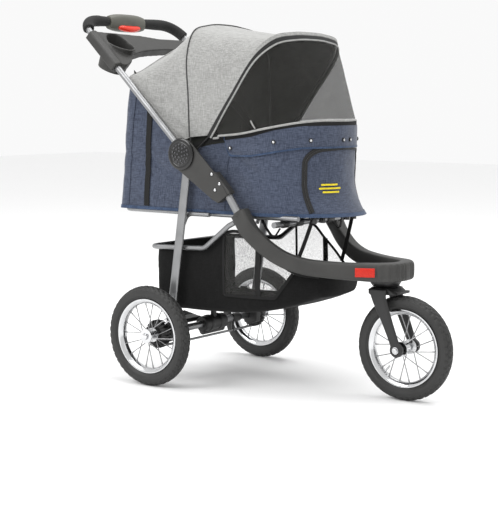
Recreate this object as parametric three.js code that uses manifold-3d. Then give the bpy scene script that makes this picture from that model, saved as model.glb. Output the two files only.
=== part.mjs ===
// Three-wheeled folding pet stroller, in millimetres. +X is forward, +Y is left, +Z is up.
// The group's origin is the middle of the footprint, on the ground. Inside it every shape is
// placed from the rear axle line (X = 0), which is BACK_SHIFT behind that origin.
import * as THREE from 'three';
import { mergeVertices } from 'three/addons/utils/BufferGeometryUtils.js';
import Module from 'manifold-3d';

const wasm = await Module();
wasm.setup();

// ---- Driving dimensions ----
const LENGTH = 1118;
const HALF_WIDTH = 284.5;
const WHEEL_RADIUS = 140;
const TYRE_HALF_WIDTH = 20;
const RIM_SEAT_RADIUS = 104;
const FRONT_AXLE_X = 665;
const REAR_WHEEL_Y = 262;
const BACK_SHIFT = FRONT_AXLE_X + WHEEL_RADIUS - LENGTH / 2;
const GAP = 0.3;

const HINGE = { x: 92, z: 645 };
const HANDLE_ANGLE = THREE.MathUtils.degToRad(136);
const HANDLE_REACH = 539.6;
const HANDLE_TUBE_RADIUS = 8.9;
const HANDLE_BEND = 80;
const HANDLE_TURNS = 5;
const HANDLE_SIDES = 10;
const FOAM_RADIUS = 16;
const GRIP_TOP = 1044;

// Layers of each side hinge, as distances from the centre plane, outermost first.
const LAYER = {
  cap: [229, 236],
  shell: [223.2, 228.7],
  handle: [204.1, 221.9],
  leg: [190.6, 203.6],
  midBow: [184.6, 190.2],
  frontBow: [178.8, 184.2],
};
const PIN_RADIUS = 5;
const PIN_CLEARANCE = 0.4;
const HINGE_DISC_RADIUS = 44;

const LEG_FOOT = { x: 21, z: 165 };
const LEG_WIDTH = 27;
const AXLE_TUBE_RADIUS = 10;
const AXLE_TUBE_SIDES = 20;
const AXLE_BOLT_RADIUS = 5;
const FOOT_INNER = 188;
const FOOT_OUTER = 211.5;

const STEERING_X = 603;
const SOCKET_TOP = 317.7;
const CROWN_TOP = 299.7;
const CROWN_BOTTOM = 283;
const FORK_HALF_GAP = 37;
const FORK_THICKNESS = 14;

const CABIN_HALF_WIDTH = 176;
const CABIN_BOTTOM = 488;
const FABRIC = 3;

const COLOUR = {
  moulded: 0x3a3a37,
  black: 0x171717,
  silver: 0xa9abad,
  chrome: 0xd8dadc,
  tyre: 0x2b2b2c,
  foam: 0x1b1b1c,
  gripCover: 0x5c5c55,
  trigger: 0xe23a22,
  denim: 0x3f4a6b,
  canopy: 0xa9a9a7,
  mesh: 0x2a2b2a,
  reflector: 0xd92a12,
};

// ---- Solids and helpers ----
const vec = (x, y, z) => new THREE.Vector3(x, y, z);

// Merges a geometry's shared vertices and turns its faces outwards.
function closed(geometry) {
  const bare = geometry.index ? geometry.clone() : geometry;
  bare.deleteAttribute('normal');
  bare.deleteAttribute('uv');
  const merged = mergeVertices(bare, 1e-4);
  const at = merged.attributes.position;
  const index = merged.index.array;
  const a = vec(0, 0, 0);
  const b = vec(0, 0, 0);
  const c = vec(0, 0, 0);
  let volume = 0;
  for (let i = 0; i < index.length; i += 3) {
    a.fromBufferAttribute(at, index[i]);
    b.fromBufferAttribute(at, index[i + 1]);
    c.fromBufferAttribute(at, index[i + 2]);
    volume += a.dot(b.cross(c));
  }
  if (volume < 0) {
    for (let i = 0; i < index.length; i += 3) {
      [index[i], index[i + 1]] = [index[i + 1], index[i]];
    }
  }
  return merged;
}

function manifold(geometry) {
  const shape = closed(geometry);
  return new wasm.Manifold(new wasm.Mesh({
    numProp: 3,
    vertProperties: new Float32Array(shape.attributes.position.array),
    triVerts: new Uint32Array(shape.index.array),
  }));
}

function geometryOf(solid) {
  const mesh = solid.getMesh();
  const geometry = new THREE.BufferGeometry();
  geometry.setAttribute('position', new THREE.BufferAttribute(mesh.vertProperties, 3));
  geometry.setIndex(new THREE.BufferAttribute(mesh.triVerts, 1));
  return geometry;
}

function union(...geometries) {
  return geometryOf(geometries.map(manifold).reduce((all, one) => all.add(one)));
}

function cut(geometry, ...tools) {
  return geometryOf(tools.map(manifold).reduce((left, tool) => left.subtract(tool), manifold(geometry)));
}

// The same shape on the other side of the centre plane.
function mirrored(geometry) {
  return closed(geometry.clone().scale(1, -1, 1));
}

// A closed skin over rings that each hold the same number of points; both ends are capped.
function loft(rings) {
  const size = rings[0].length;
  const points = rings.flat();
  const index = [];
  for (let k = 0; k + 1 < rings.length; k++) {
    for (let i = 0; i < size; i++) {
      const a = k * size + i;
      const b = k * size + (i + 1) % size;
      index.push(a, b, b + size, a, b + size, a + size);
    }
  }
  for (const [k, flip] of [[0, true], [rings.length - 1, false]]) {
    const middle = rings[k].reduce((sum, p) => sum.add(p), vec(0, 0, 0)).divideScalar(size);
    const centre = points.push(middle) - 1;
    for (let i = 0; i < size; i++) {
      const a = k * size + i;
      const b = k * size + (i + 1) % size;
      index.push(centre, ...(flip ? [b, a] : [a, b]));
    }
  }
  const geometry = new THREE.BufferGeometry().setFromPoints(points);
  geometry.setIndex(index);
  return closed(geometry);
}

// A path through points whose inner corners are rounded to a bend radius.
function rounded(points, bend, turns = 6) {
  const path = [points[0].clone()];
  for (let i = 1; i + 1 < points.length; i++) {
    const back = points[i - 1].clone().sub(points[i]);
    const ahead = points[i + 1].clone().sub(points[i]);
    const half = back.angleTo(ahead) / 2;
    const reach = Math.min(bend / Math.tan(half), back.length() * 0.49, ahead.length() * 0.49);
    const start = points[i].clone().addScaledVector(back.normalize(), reach);
    const end = points[i].clone().addScaledVector(ahead.normalize(), reach);
    const arc = new THREE.QuadraticBezierCurve3(start, points[i], end);
    path.push(...arc.getPoints(turns));
  }
  path.push(points.at(-1).clone());
  return path;
}

// A round bar along a path, as a loft of circles.
function bar(path, radius, sides = 10) {
  const across = vec(0, 0, 0);
  return loft(path.map((point, i) => {
    const ahead = path[Math.min(i + 1, path.length - 1)];
    const behind = path[Math.max(i - 1, 0)];
    const along = ahead.clone().sub(behind).normalize();
    if (i === 0) {
      across.crossVectors(along, Math.abs(along.y) < 0.9 ? vec(0, 1, 0) : vec(1, 0, 0));
    }
    across.addScaledVector(along, -across.dot(along)).normalize();
    const up = along.clone().cross(across);
    return Array.from({ length: sides }, (_, k) => {
      const turn = 2 * Math.PI * k / sides;
      return point.clone()
        .addScaledVector(across, radius * Math.cos(turn))
        .addScaledVector(up, radius * Math.sin(turn));
    });
  }));
}

// A sheet of even thickness over surface(u, v), which gives a point for u and v in 0..1.
function sheet(surface, thickness, along, across) {
  const box = new THREE.BoxGeometry(1, 1, 1, along, across, 1);
  const at = box.attributes.position;
  const step = 0.01;
  for (let i = 0; i < at.count; i++) {
    const u = at.getX(i) + 0.5;
    const v = at.getY(i) + 0.5;
    const lift = (at.getZ(i) + 0.5) * thickness;
    const du = surface(Math.min(u + step, 1), v).sub(surface(Math.max(u - step, 0), v));
    const dv = surface(u, Math.min(v + step, 1)).sub(surface(u, Math.max(v - step, 0)));
    const point = surface(u, v).addScaledVector(dv.cross(du).normalize(), lift);
    at.setXYZ(i, point.x, point.y, point.z);
  }
  return closed(box);
}

// A plate whose outline lies in the XZ plane, between two distances from the centre plane.
function plate(outline, [near, far]) {
  const shape = Array.isArray(outline)
    ? new THREE.Shape(outline.map(([x, z]) => new THREE.Vector2(x, z)))
    : outline;
  const options = { depth: far - near, bevelEnabled: false, curveSegments: 6 };
  const geometry = new THREE.ExtrudeGeometry(shape, options);
  return closed(geometry.rotateX(Math.PI / 2).translate(0, far, 0));
}

function disc({ x, z }, radius) {
  return new THREE.Shape().absarc(x, z, radius, 0, 2 * Math.PI);
}

// A turned solid about a line parallel to Y; profile points are [radius, y].
function turned(profile, { x, z }, segments = 24) {
  const geometry = new THREE.LatheGeometry(profile.map(([r, y]) => new THREE.Vector2(r, y)), segments);
  return closed(geometry.translate(x, 0, z));
}

function rod(radius, from, to, at, segments = 12) {
  return turned([[0, from], [radius, from], [radius, to], [0, to]], at, segments);
}

const stroller = new THREE.Group();
stroller.position.x = -BACK_SHIFT;

function add(name, geometry, colour, roughness = 0.6, metalness = 0) {
  const material = new THREE.MeshStandardMaterial({ color: colour, roughness, metalness });
  const mesh = new THREE.Mesh(closed(geometry), material);
  mesh.name = name;
  stroller.add(mesh);
}

// Adds a right-hand shape (negative Y) and its left-hand mirror image.
function addPair(name, geometry, colour, roughness, metalness) {
  add(`${name}_right`, mirrored(geometry), colour, roughness, metalness);
  add(`${name}_left`, geometry, colour, roughness, metalness);
}

// ---- Wheels ----
const TYRE_PROFILE = [
  [104, -13], [112, -TYRE_HALF_WIDTH], [128, -TYRE_HALF_WIDTH], [137, -12], [WHEEL_RADIUS, -5],
  [WHEEL_RADIUS, 5], [137, 12], [128, TYRE_HALF_WIDTH], [112, TYRE_HALF_WIDTH], [104, 13], [104, -13],
];
const SPOKES = 16;
const SPOKE_RADIUS = 1.5;
const WHEEL_SEGMENTS = 32;

function rimProfile() {
  const seat = RIM_SEAT_RADIUS - GAP;
  return [[91, -8], [95, -13], [seat, -13], [seat, 13], [95, 13], [91, 8], [91, -8]];
}

// Two spoke flanges on a barrel, with spokes that lean to the middle of the rim.
function spokedHub(half) {
  const bore = AXLE_BOLT_RADIUS + PIN_CLEARANCE;
  const flange = half - 6;
  const barrel = turned([
    [bore, -half], [9, -half], [19, -flange - 1], [19, -flange + 1], [10, -flange + 2],
    [10, flange - 2], [19, flange - 1], [19, flange + 1], [9, half], [bore, half], [bore, -half],
  ], { x: 0, z: 0 }, 12);
  const spokes = Array.from({ length: SPOKES }, (_, k) => {
    const turn = 2 * Math.PI * k / SPOKES;
    const side = k % 2 ? 1 : -1;
    const from = vec(17 * Math.cos(turn), side * flange, 17 * Math.sin(turn));
    const to = vec(89.8 * Math.cos(turn), side * 2, 89.8 * Math.sin(turn));
    return bar([from, to], SPOKE_RADIUS, 3);
  });
  return union(barrel, ...spokes);
}

function addWheel(name, x, y, hubHalf) {
  const place = (geometry) => geometry.translate(x, y, WHEEL_RADIUS);
  const origin = { x: 0, z: 0 };
  add(`${name}_tyre`, place(turned(TYRE_PROFILE, origin, WHEEL_SEGMENTS)), COLOUR.tyre, 0.9);
  add(`${name}_rim`, place(turned(rimProfile(), origin, WHEEL_SEGMENTS)), COLOUR.chrome, 0.2, 1);
  add(`${name}_hub_spokes`, place(spokedHub(hubHalf)), COLOUR.chrome, 0.25, 1);
}

addWheel('rear_wheel_right', 0, -REAR_WHEEL_Y, 20);
addWheel('rear_wheel_left', 0, REAR_WHEEL_Y, 20);
addWheel('front_wheel', FRONT_AXLE_X, 0, 30);

// ---- Side hinges ----
const HOLE = PIN_RADIUS + PIN_CLEARANCE;
const SHELL_END = vec(243, 0, 536);
const TUBE_SLOPE = vec(0.576, 0, -0.818);

// The cover runs from the hinge disc down over the top of the lower tube.
function shellOutline() {
  const side = vec(0.818, 0, 0.576);
  const upper = SHELL_END.clone().addScaledVector(side, 17);
  const lower = SHELL_END.clone().addScaledVector(side, -14);
  return [[124, 676], [upper.x - 4, upper.z + 6], [upper.x, upper.z], [lower.x, lower.z],
    [216, 517], [198, 525], [60, 614]];
}

function hingeShell() {
  const outer = union(
    plate(disc(HINGE, HINGE_DISC_RADIUS), LAYER.shell),
    plate(shellOutline(), LAYER.shell),
  );
  const lowest = shellOutline().slice(1, 6);
  const block = plate([[205, 600], ...lowest, [165, 549]], [204.3, LAYER.shell[0] + 1]);
  return union(outer, block);
}

addPair('hinge_shell', hingeShell(), COLOUR.moulded);
addPair('hinge_cap', turned([
  [0, LAYER.cap[0]], [43.5, LAYER.cap[0]], [43.5, 233], [41, 234.6], [36, LAYER.cap[1]], [0, LAYER.cap[1]],
], HINGE, 24), COLOUR.black, 0.45);
const hingePin = rod(PIN_RADIUS, LAYER.frontBow[0] - 0.2, LAYER.shell[0] - GAP, HINGE);
addPair('hinge_pin', hingePin, COLOUR.silver, 0.4, 1);

// ---- Front arms, nose and lower tubes ----
const ARM_START = vec(274, 0, 492);
const LOWER_TUBE_Y = 213;

function lowerTube() {
  const from = SHELL_END.clone().addScaledVector(TUBE_SLOPE, 0.8).setY(LOWER_TUBE_Y);
  const to = ARM_START.clone().addScaledVector(TUBE_SLOPE, -0.8).setY(LOWER_TUBE_Y);
  return bar([from, to], 11, 16);
}

// Stations of an arm: x and z of its centre line, its height and its thickness.
const ARM_STATIONS = [
  [274, 492, 48, 36], [307, 444, 46, 36], [345, 403, 44, 35], [390, 372, 43, 35],
  [440, 355, 43, 35], [500, 348, 44, 36], [560, 345, 46, 38], [606, 344, 50, 40],
];
const ARM_SPREAD = 206;
const ARM_TAPER = 0.456;

const armY = (x) => ARM_SPREAD - ARM_TAPER * Math.max(0, x - 305);

function arm() {
  return loft(ARM_STATIONS.map(([x, z, height, thick], i) => {
    const next = ARM_STATIONS[Math.min(i + 1, ARM_STATIONS.length - 1)];
    const last = ARM_STATIONS[Math.max(i - 1, 0)];
    const slope = Math.atan2(next[1] - last[1], next[0] - last[0]);
    const tilt = i === 0 ? Math.atan2(TUBE_SLOPE.z, TUBE_SLOPE.x) : i === ARM_STATIONS.length - 1 ? 0 : slope;
    const h = height / 2;
    const t = thick / 2;
    const corner = 9;
    const section = [[-t, -h + corner], [-t + corner, -h], [t - corner, -h], [t, -h + corner],
      [t, h - corner], [t - corner, h], [-t + corner, h], [-t, h - corner]];
    return section.map(([side, up]) => vec(x - up * Math.sin(tilt), armY(x) + side, z + up * Math.cos(tilt)));
  }));
}

// The nose joins the arms; its plan is a blunt wedge and its front face leans back slightly.
function noseCover() {
  const back = 606 + GAP;
  const half = armY(606) + 20;
  const right = [[back, -half], [640, -half + 15.5], [657, -half + 32], [668, -34]];
  const left = right.map(([x, y]) => [x, -y]).reverse();
  const plan = [...right, [671, 0], ...left];
  const ring = (z, inset) => plan.map(([x, y]) => vec(x === back ? x : x - inset, y * (1 - inset / 90), z));
  return loft([ring(319, 7), ring(326, 0), ring(358, 2), ring(369, 9)]);
}

// The deck closes the underside between the arms, from behind the nose backwards.
function deckPlate() {
  const front = 604;
  const rear = 462;
  const edge = (x) => armY(x) - 21;
  const outline = [[rear, -edge(rear)], [front, -edge(front)], [front, edge(front)], [rear, edge(rear)]];
  return loft([330, 336].map((z) => outline.map(([x, y]) => vec(x, y, z))));
}

function reflector() {
  const box = new THREE.BoxGeometry(52, 4, 24);
  const turn = -Math.atan(ARM_TAPER);
  const x = 597;
  return box.rotateZ(turn).translate(x, armY(x) + 22.6, 345);
}

addPair('lower_tube', lowerTube(), COLOUR.silver, 0.35, 0.8);
addPair('front_arm', arm(), COLOUR.moulded);
add('nose_cover', noseCover(), COLOUR.moulded);
add('deck_plate', deckPlate(), COLOUR.black, 0.7);
addPair('reflector', reflector(), COLOUR.reflector, 0.25);

// ---- Steering and front fork ----
const STEERING = { x: STEERING_X, y: 0 };

function standing(profile, { x, y }, segments = 16) {
  const geometry = new THREE.LatheGeometry(profile.map(([r, z]) => new THREE.Vector2(r, z)), segments);
  return closed(geometry.rotateX(Math.PI / 2).translate(x, y, 0));
}

// A socket under the nose, with a blind hole for the steering stem.
function steeringSocket() {
  const low = CROWN_TOP + 1;
  return standing([[8.4, low], [22, low], [26, low + 6], [26, SOCKET_TOP], [0, SOCKET_TOP],
    [0, SOCKET_TOP - 4], [8.4, SOCKET_TOP - 4], [8.4, low]], STEERING);
}

function steeringStem() {
  const low = CROWN_TOP + GAP;
  const high = SOCKET_TOP - 4.5;
  return standing([[0, low], [8, low], [8, high], [0, high]], STEERING);
}

// Fork stations: x and z of a leg's centre line and its width along the wheel.
const FORK_STATIONS = [[603, 297, 56], [611, 268, 44], [632, 220, 34], [652, 172, 29], [664, 142, 28]];
const DROPOUT_RADIUS = 19;

function forkLeg() {
  const leg = loft(FORK_STATIONS.map(([x, z, width], i) => {
    const next = FORK_STATIONS[Math.min(i + 1, FORK_STATIONS.length - 1)];
    const last = FORK_STATIONS[Math.max(i - 1, 0)];
    const along = vec(next[0] - last[0], 0, next[1] - last[1]).normalize();
    const side = i === 0 ? vec(1, 0, 0) : vec(-along.z, 0, along.x);
    const reach = side.multiplyScalar(width / 2);
    const low = FORK_HALF_GAP;
    const high = FORK_HALF_GAP + FORK_THICKNESS;
    const middle = (low + high) / 2;
    return [[-1, middle], [-0.7, low], [0.7, low], [1, middle], [0.7, high], [-0.7, high]]
      .map(([share, y]) => vec(x + reach.x * share, y, z + reach.z * share));
  }));
  const axle = { x: FRONT_AXLE_X, z: WHEEL_RADIUS };
  const dropout = plate(disc(axle, DROPOUT_RADIUS), [FORK_HALF_GAP + 1, FORK_HALF_GAP + FORK_THICKNESS - 1]);
  return union(leg, dropout);
}

function frontFork() {
  const crown = loft([CROWN_BOTTOM, CROWN_TOP - 5, CROWN_TOP].map((z, k) => {
    const inset = k === 2 ? 5 : 0;
    const half = FORK_HALF_GAP + FORK_THICKNESS - inset;
    const [rear, front] = [576 + inset, 629 - inset];
    return [[rear, -half + 8], [rear + 8, -half], [front - 8, -half], [front, -half + 8],
      [front, half - 8], [front - 8, half], [rear + 8, half], [rear, half - 8]]
      .map(([x, y]) => vec(x, y, z));
  }));
  const leg = forkLeg();
  const bore = rod(AXLE_BOLT_RADIUS + PIN_CLEARANCE, -60, 60, { x: FRONT_AXLE_X, z: WHEEL_RADIUS });
  return cut(union(crown, leg, mirrored(leg)), bore);
}

// A ribbed guard over the tyre, ahead of the crown.
function forkGuard() {
  const centre = { x: FRONT_AXLE_X, z: WHEEL_RADIUS };
  const from = 91;
  const to = 103.5;
  const teeth = 5;
  const outline = [];
  for (let k = 0; k <= 4 * teeth; k++) {
    const turn = THREE.MathUtils.degToRad(from + (to - from) * k / (4 * teeth));
    const radius = k % 4 < 2 ? 152 : 149;
    outline.push([centre.x + radius * Math.cos(turn), centre.z + radius * Math.sin(turn)]);
  }
  for (const degrees of [to, (from + to) / 2, from]) {
    const turn = THREE.MathUtils.degToRad(degrees);
    outline.push([centre.x + 144.5 * Math.cos(turn), centre.z + 144.5 * Math.sin(turn)]);
  }
  return plate(outline, [-26, 26]);
}

function frontAxle() {
  const head = FORK_HALF_GAP + FORK_THICKNESS + GAP;
  const end = head + 6;
  return turned([[0, -end], [8, -end], [8, -head], [AXLE_BOLT_RADIUS, -head], [AXLE_BOLT_RADIUS, head],
    [8, head], [8, end], [0, end]], { x: FRONT_AXLE_X, z: WHEEL_RADIUS }, 12);
}

add('steering_socket', steeringSocket(), COLOUR.black);
add('steering_stem', steeringStem(), COLOUR.silver, 0.3, 1);
add('front_fork', frontFork(), COLOUR.moulded);
add('fork_guard', forkGuard(), COLOUR.black);
add('front_axle', frontAxle(), COLOUR.chrome, 0.2, 1);

// ---- Rear frame ----
// Each leg is a flat bar from its hinge ring down to the foot.
function rearLeg() {
  const along = vec(LEG_FOOT.x - HINGE.x, 0, LEG_FOOT.z - HINGE.z).normalize();
  const side = vec(-along.z, 0, along.x).multiplyScalar(LEG_WIDTH / 2);
  const outline = [[HINGE.x + side.x, HINGE.z + side.z], [LEG_FOOT.x + side.x, LEG_FOOT.z],
    [LEG_FOOT.x - side.x, LEG_FOOT.z], [HINGE.x - side.x, HINGE.z - side.z]];
  const hole = rod(HOLE, LAYER.leg[0] - 1, LAYER.leg[1] + 1, HINGE);
  return cut(union(plate(outline, LAYER.leg), plate(disc(HINGE, 15), LAYER.leg)), hole);
}

function footBracket() {
  return plate([[-16, 132], [-6, 116], [10, 112], [36, 122], [40, LEG_FOOT.z - GAP], [0, LEG_FOOT.z - GAP],
    [-14, 150]], [FOOT_INNER, FOOT_OUTER]);
}

const AXLE = { x: 0, z: WHEEL_RADIUS };
const DRUM_INNER = 214;
const DRUM_OUTER = 239;

function brakeDrum() {
  const bore = AXLE_BOLT_RADIUS + PIN_CLEARANCE;
  return turned([[bore, DRUM_INNER], [38, DRUM_INNER], [40, DRUM_INNER + 4], [40, DRUM_OUTER - 6],
    [32, DRUM_OUTER], [bore, DRUM_OUTER], [bore, DRUM_INNER]], AXLE, 20);
}

function axleBolt() {
  const hubFace = REAR_WHEEL_Y + 20 + GAP;
  return turned([[0, FOOT_OUTER + GAP], [AXLE_BOLT_RADIUS, FOOT_OUTER + GAP], [AXLE_BOLT_RADIUS, hubFace],
    [8, hubFace], [8, HALF_WIDTH], [0, HALF_WIDTH]], AXLE, 12);
}

// The clamp on the middle of the axle tube carries the brake linkage and a short post.
function brakeBracket() {
  const outline = [[-24, 116], [-18, 108], [20, 108], [26, 116], [26, 162], [20, 168], [-18, 168], [-24, 160]];
  const clamp = plate(outline, [-30, 70]);
  const post = plate([[-4, 160], [16, 160], [13, 203], [-1, 203]], [8, 30]);
  return cut(union(clamp, post), rod(AXLE_TUBE_RADIUS + GAP, -40, 80, AXLE, AXLE_TUBE_SIDES));
}

const PEDAL_PIVOT = { x: -33, z: 152 };

// A sleeve behind the clamp, with a tread plate that the foot pushes down.
function brakePedal() {
  const sleeve = rod(7, -64, 4, PEDAL_PIVOT);
  const outline = [[-34, 148], [-60, 154], [-92, 161], [-96, 166], [-92, 169], [-58, 163], [-34, 158]];
  const tread = plate(outline, [-64, 4]);
  return union(sleeve, tread);
}

addPair('rear_leg', rearLeg(), COLOUR.silver, 0.35, 0.8);
addPair('foot_bracket', footBracket(), COLOUR.black);
const axleTube = rod(AXLE_TUBE_RADIUS, -FOOT_INNER + GAP, FOOT_INNER - GAP, AXLE, AXLE_TUBE_SIDES);
add('axle_tube', axleTube, COLOUR.silver, 0.4, 0.8);
addPair('axle_bolt', axleBolt(), COLOUR.chrome, 0.2, 1);
addPair('brake_drum', brakeDrum(), COLOUR.black);
const brakeRod = rod(3.5, -DRUM_INNER + GAP, DRUM_INNER - GAP, { x: 0, z: 103 }, 10);
add('brake_rod', brakeRod, COLOUR.silver, 0.4, 0.8);
add('brake_bracket', brakeBracket(), COLOUR.black);
add('brake_pedal', brakePedal(), COLOUR.black);

// ---- Handle ----
const HANDLE_Y = (LAYER.handle[0] + LAYER.handle[1]) / 2;
const ALONG = vec(Math.cos(HANDLE_ANGLE), 0, Math.sin(HANDLE_ANGLE));
const OUT = vec(Math.sin(HANDLE_ANGLE), 0, -Math.cos(HANDLE_ANGLE));

// A point in the handle's plane: its reach from the hinge, its y and its height off the plane.
function onHandle(reach, y, off = 0) {
  return vec(HINGE.x, y, HINGE.z).addScaledVector(ALONG, reach).addScaledVector(OUT, off);
}

function handlePath(startRight, startLeft) {
  return rounded([onHandle(startRight, -HANDLE_Y), onHandle(HANDLE_REACH, -HANDLE_Y),
    onHandle(HANDLE_REACH, HANDLE_Y), onHandle(startLeft, HANDLE_Y)], HANDLE_BEND, HANDLE_TURNS);
}

function handleTube() {
  const ring = plate(disc(HINGE, 18), LAYER.handle);
  const bore = rod(HOLE, LAYER.handle[0] - 1, LAYER.handle[1] + 1, HINGE);
  const bent = bar(handlePath(12, 12), HANDLE_TUBE_RADIUS, HANDLE_SIDES);
  return cut(union(bent, ring, mirrored(ring)), bore, mirrored(bore));
}

const HOUSING = { from: -95, to: 55 };
const TRIGGER = { from: -68, to: 28, slot: 9 };

function foamGrip(side) {
  const start = side < 0 ? 500 : 488;
  const end = side < 0 ? HOUSING.from - GAP : HOUSING.to + GAP;
  const path = rounded([onHandle(start, side * HANDLE_Y), onHandle(HANDLE_REACH, side * HANDLE_Y),
    onHandle(HANDLE_REACH, end)], HANDLE_BEND, HANDLE_TURNS);
  const hole = bar(handlePath(300, 300), HANDLE_TUBE_RADIUS + GAP, HANDLE_SIDES);
  return cut(bar(path, FOAM_RADIUS, HANDLE_SIDES), hole);
}

// The cover over the middle of the bar, with a slot below for the trigger.
function gripHousing() {
  const top = (GRIP_TOP - onHandle(HANDLE_REACH, 0).z);
  const stations = [[HOUSING.from, 0.72], [HOUSING.from + 12, 0.9], [-55, 1], [15, 1],
    [HOUSING.to - 12, 0.9], [HOUSING.to, 0.72]];
  const shell = loft(stations.map(([y, scale]) => Array.from({ length: 12 }, (_, k) => {
    const turn = 2 * Math.PI * k / 12;
    const centre = onHandle(HANDLE_REACH - 3, y);
    return centre.add(vec(19 * scale * Math.cos(turn), 0, (top + 2.1) * scale * Math.sin(turn)));
  })));
  const slot = loft([500, 530.6].map((reach) => [[-TRIGGER.slot, TRIGGER.from], [TRIGGER.slot, TRIGGER.from],
    [TRIGGER.slot, TRIGGER.to], [-TRIGGER.slot, TRIGGER.to]].map(([off, y]) => onHandle(reach, y, off))));
  return cut(shell, bar(handlePath(300, 300), HANDLE_TUBE_RADIUS + GAP, HANDLE_SIDES), slot);
}

function foldTrigger() {
  const half = TRIGGER.slot - 0.8;
  const from = TRIGGER.from + 1;
  const to = TRIGGER.to - 1;
  const ring = (reach, trim) => {
    const corners = [[-half, from + trim], [half, from + trim], [half, to - trim], [-half, to - trim]];
    return corners.map(([off, y]) => onHandle(reach, y, off));
  };
  return loft([ring(500, 16), ring(506, 4), ring(521, 0)]);
}

// The tray is a thin plate in the handle's plane with clamps on both tubes and a cup well.
const TRAY_OUTLINE = [
  [-231, 341], [-182, 338], [-152, 352], [-124, 382], [-60, 400], [-20, 406], [60, 413], [196, 410],
  [231, 404], [231, 462], [196, 458], [60, 458], [-20, 468], [-90, 471], [-150, 474], [-231, 476],
];
const CUP = { centre: vec(-204, -144, 953), tilt: 26, radius: 44, depth: 78, wall: 4.5 };

function cupShape(profile) {
  const geometry = new THREE.LatheGeometry(profile.map(([r, z]) => new THREE.Vector2(r, z)), 18);
  geometry.rotateX(Math.PI / 2).rotateY(THREE.MathUtils.degToRad(CUP.tilt));
  return closed(geometry.translate(CUP.centre.x, CUP.centre.y, CUP.centre.z));
}

function cupTray() {
  const shape = new THREE.Shape(TRAY_OUTLINE.map(([y, reach]) => new THREE.Vector2(y, reach)));
  const flat = new THREE.ExtrudeGeometry(shape, { depth: 26, bevelEnabled: false });
  const at = flat.attributes.position;
  for (let i = 0; i < at.count; i++) {
    const point = onHandle(at.getY(i), at.getX(i), at.getZ(i) - 12);
    at.setXYZ(i, point.x, point.y, point.z);
  }
  const { radius, depth, wall } = CUP;
  const outside = cupShape([[0, -depth - wall], [radius - 4, -depth - wall], [radius + wall, 0], [0, 0]]);
  const well = cupShape([[0, -depth], [radius - 8, -depth], [radius, 20], [0, 20]]);
  const tube = bar(handlePath(300, 300), HANDLE_TUBE_RADIUS + GAP, HANDLE_SIDES);
  const clamps = [[-1, 341, 476], [1, 404, 462]].map(([side, low, high]) => bar([
    onHandle(low, side * HANDLE_Y), onHandle(high, side * HANDLE_Y)], 18.5, HANDLE_SIDES));
  return cut(union(flat, outside, ...clamps), well, tube);
}

add('handle_tube', handleTube(), COLOUR.silver, 0.35, 0.8);
add('foam_grip_right', foamGrip(-1), COLOUR.foam, 0.95);
add('foam_grip_left', foamGrip(1), COLOUR.foam, 0.95);
add('grip_housing', gripHousing(), COLOUR.gripCover);
add('fold_trigger', foldTrigger(), COLOUR.trigger, 0.4);
add('cup_tray', cupTray(), COLOUR.moulded);

// ---- Canopy ----
// Hoops are half outlines from a side's foot to the crown, as [x, y, z] with y to the left.
const MID_Y = (LAYER.midBow[0] + LAYER.midBow[1]) / 2;
const FRONT_Y = (LAYER.frontBow[0] + LAYER.frontBow[1]) / 2;
const BOW_RADIUS = 2.6;

const mirrorHalf = (half) => [...half.map(([x, y, z]) => vec(x, -y, z)),
  ...half.slice(0, -1).reverse().map(([x, y, z]) => vec(x, y, z))];

function bow(half, layer, discRadius) {
  const path = rounded(mirrorHalf(half), 105, 4);
  const ring = plate(disc(HINGE, discRadius), layer);
  const bore = rod(HOLE, layer[0] - 1, layer[1] + 1, HINGE);
  return cut(union(bar(path, BOW_RADIUS, 6), ring, mirrored(ring)), bore, mirrored(bore));
}

const MID_BOW = [[91, MID_Y, 656], [83, MID_Y, 970], [60, 0, 995]];
const FRONT_BOW = [[100, FRONT_Y, 650], [150, FRONT_Y, 692], [340, FRONT_Y, 950], [356, 0, 964]];

// Fabric edges: the handle's tubes and the arch between them, then the lines over the two bows.
const REAR_EDGE = [
  [58, 195, 678], [-32, 196, 765], [-122, 196, 852], [-119, 150, 872], [-100, 70, 916], [-86, 0, 944],
];
const MID_EDGE = [
  [90, 191, 690], [86, 191, 800], [82, 191, 908], [76, 155, 975], [66, 75, 996], [60, 0, 1001],
];
const FRONT_EDGE = [
  [152, 191, 696], [232, 191, 808], [312, 190, 914], [346, 155, 956], [357, 75, 970], [361, 0, 972],
];
const RIM_EDGE = [
  [166, 186, 692], [262, 186, 700], [345, 177, 716], [420, 128, 731], [462, 64, 735], [478, 0, 735],
];

const hoop = (half) => new THREE.CatmullRomCurve3(mirrorHalf(half), false, 'centripetal');

function between(rear, front, from, to) {
  const [a, b] = [hoop(rear), hoop(front)];
  return (u, v) => a.getPoint(u).lerp(b.getPoint(u), from + (to - from) * v);
}

add('mid_bow', bow(MID_BOW, LAYER.midBow, 17), COLOUR.black);
add('front_bow', bow(FRONT_BOW, LAYER.frontBow, 15), COLOUR.black);
add('canopy_rear', sheet(between(REAR_EDGE, MID_EDGE, 0, 0.995), 2.2, 20, 2), COLOUR.canopy, 0.95);
add('canopy_front', sheet(between(MID_EDGE, FRONT_EDGE, 0.005, 0.98), 2.2, 20, 2), COLOUR.canopy, 0.95);
add('mesh_cover', sheet(between(FRONT_EDGE, RIM_EDGE, 0.02, 0.97), 2, 20, 3), COLOUR.mesh, 0.9);

// ---- Carriage ----
// The tub's plan: straight sides and rear, a round front that flares out at the floor.
const TUB_FRONT = new Map([[0, 512], [0.35, 466], [1, 474]]);
const TUB_ROUND_START = 290;
const TUB_REAR = { bottom: -190, top: -150 };

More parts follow.
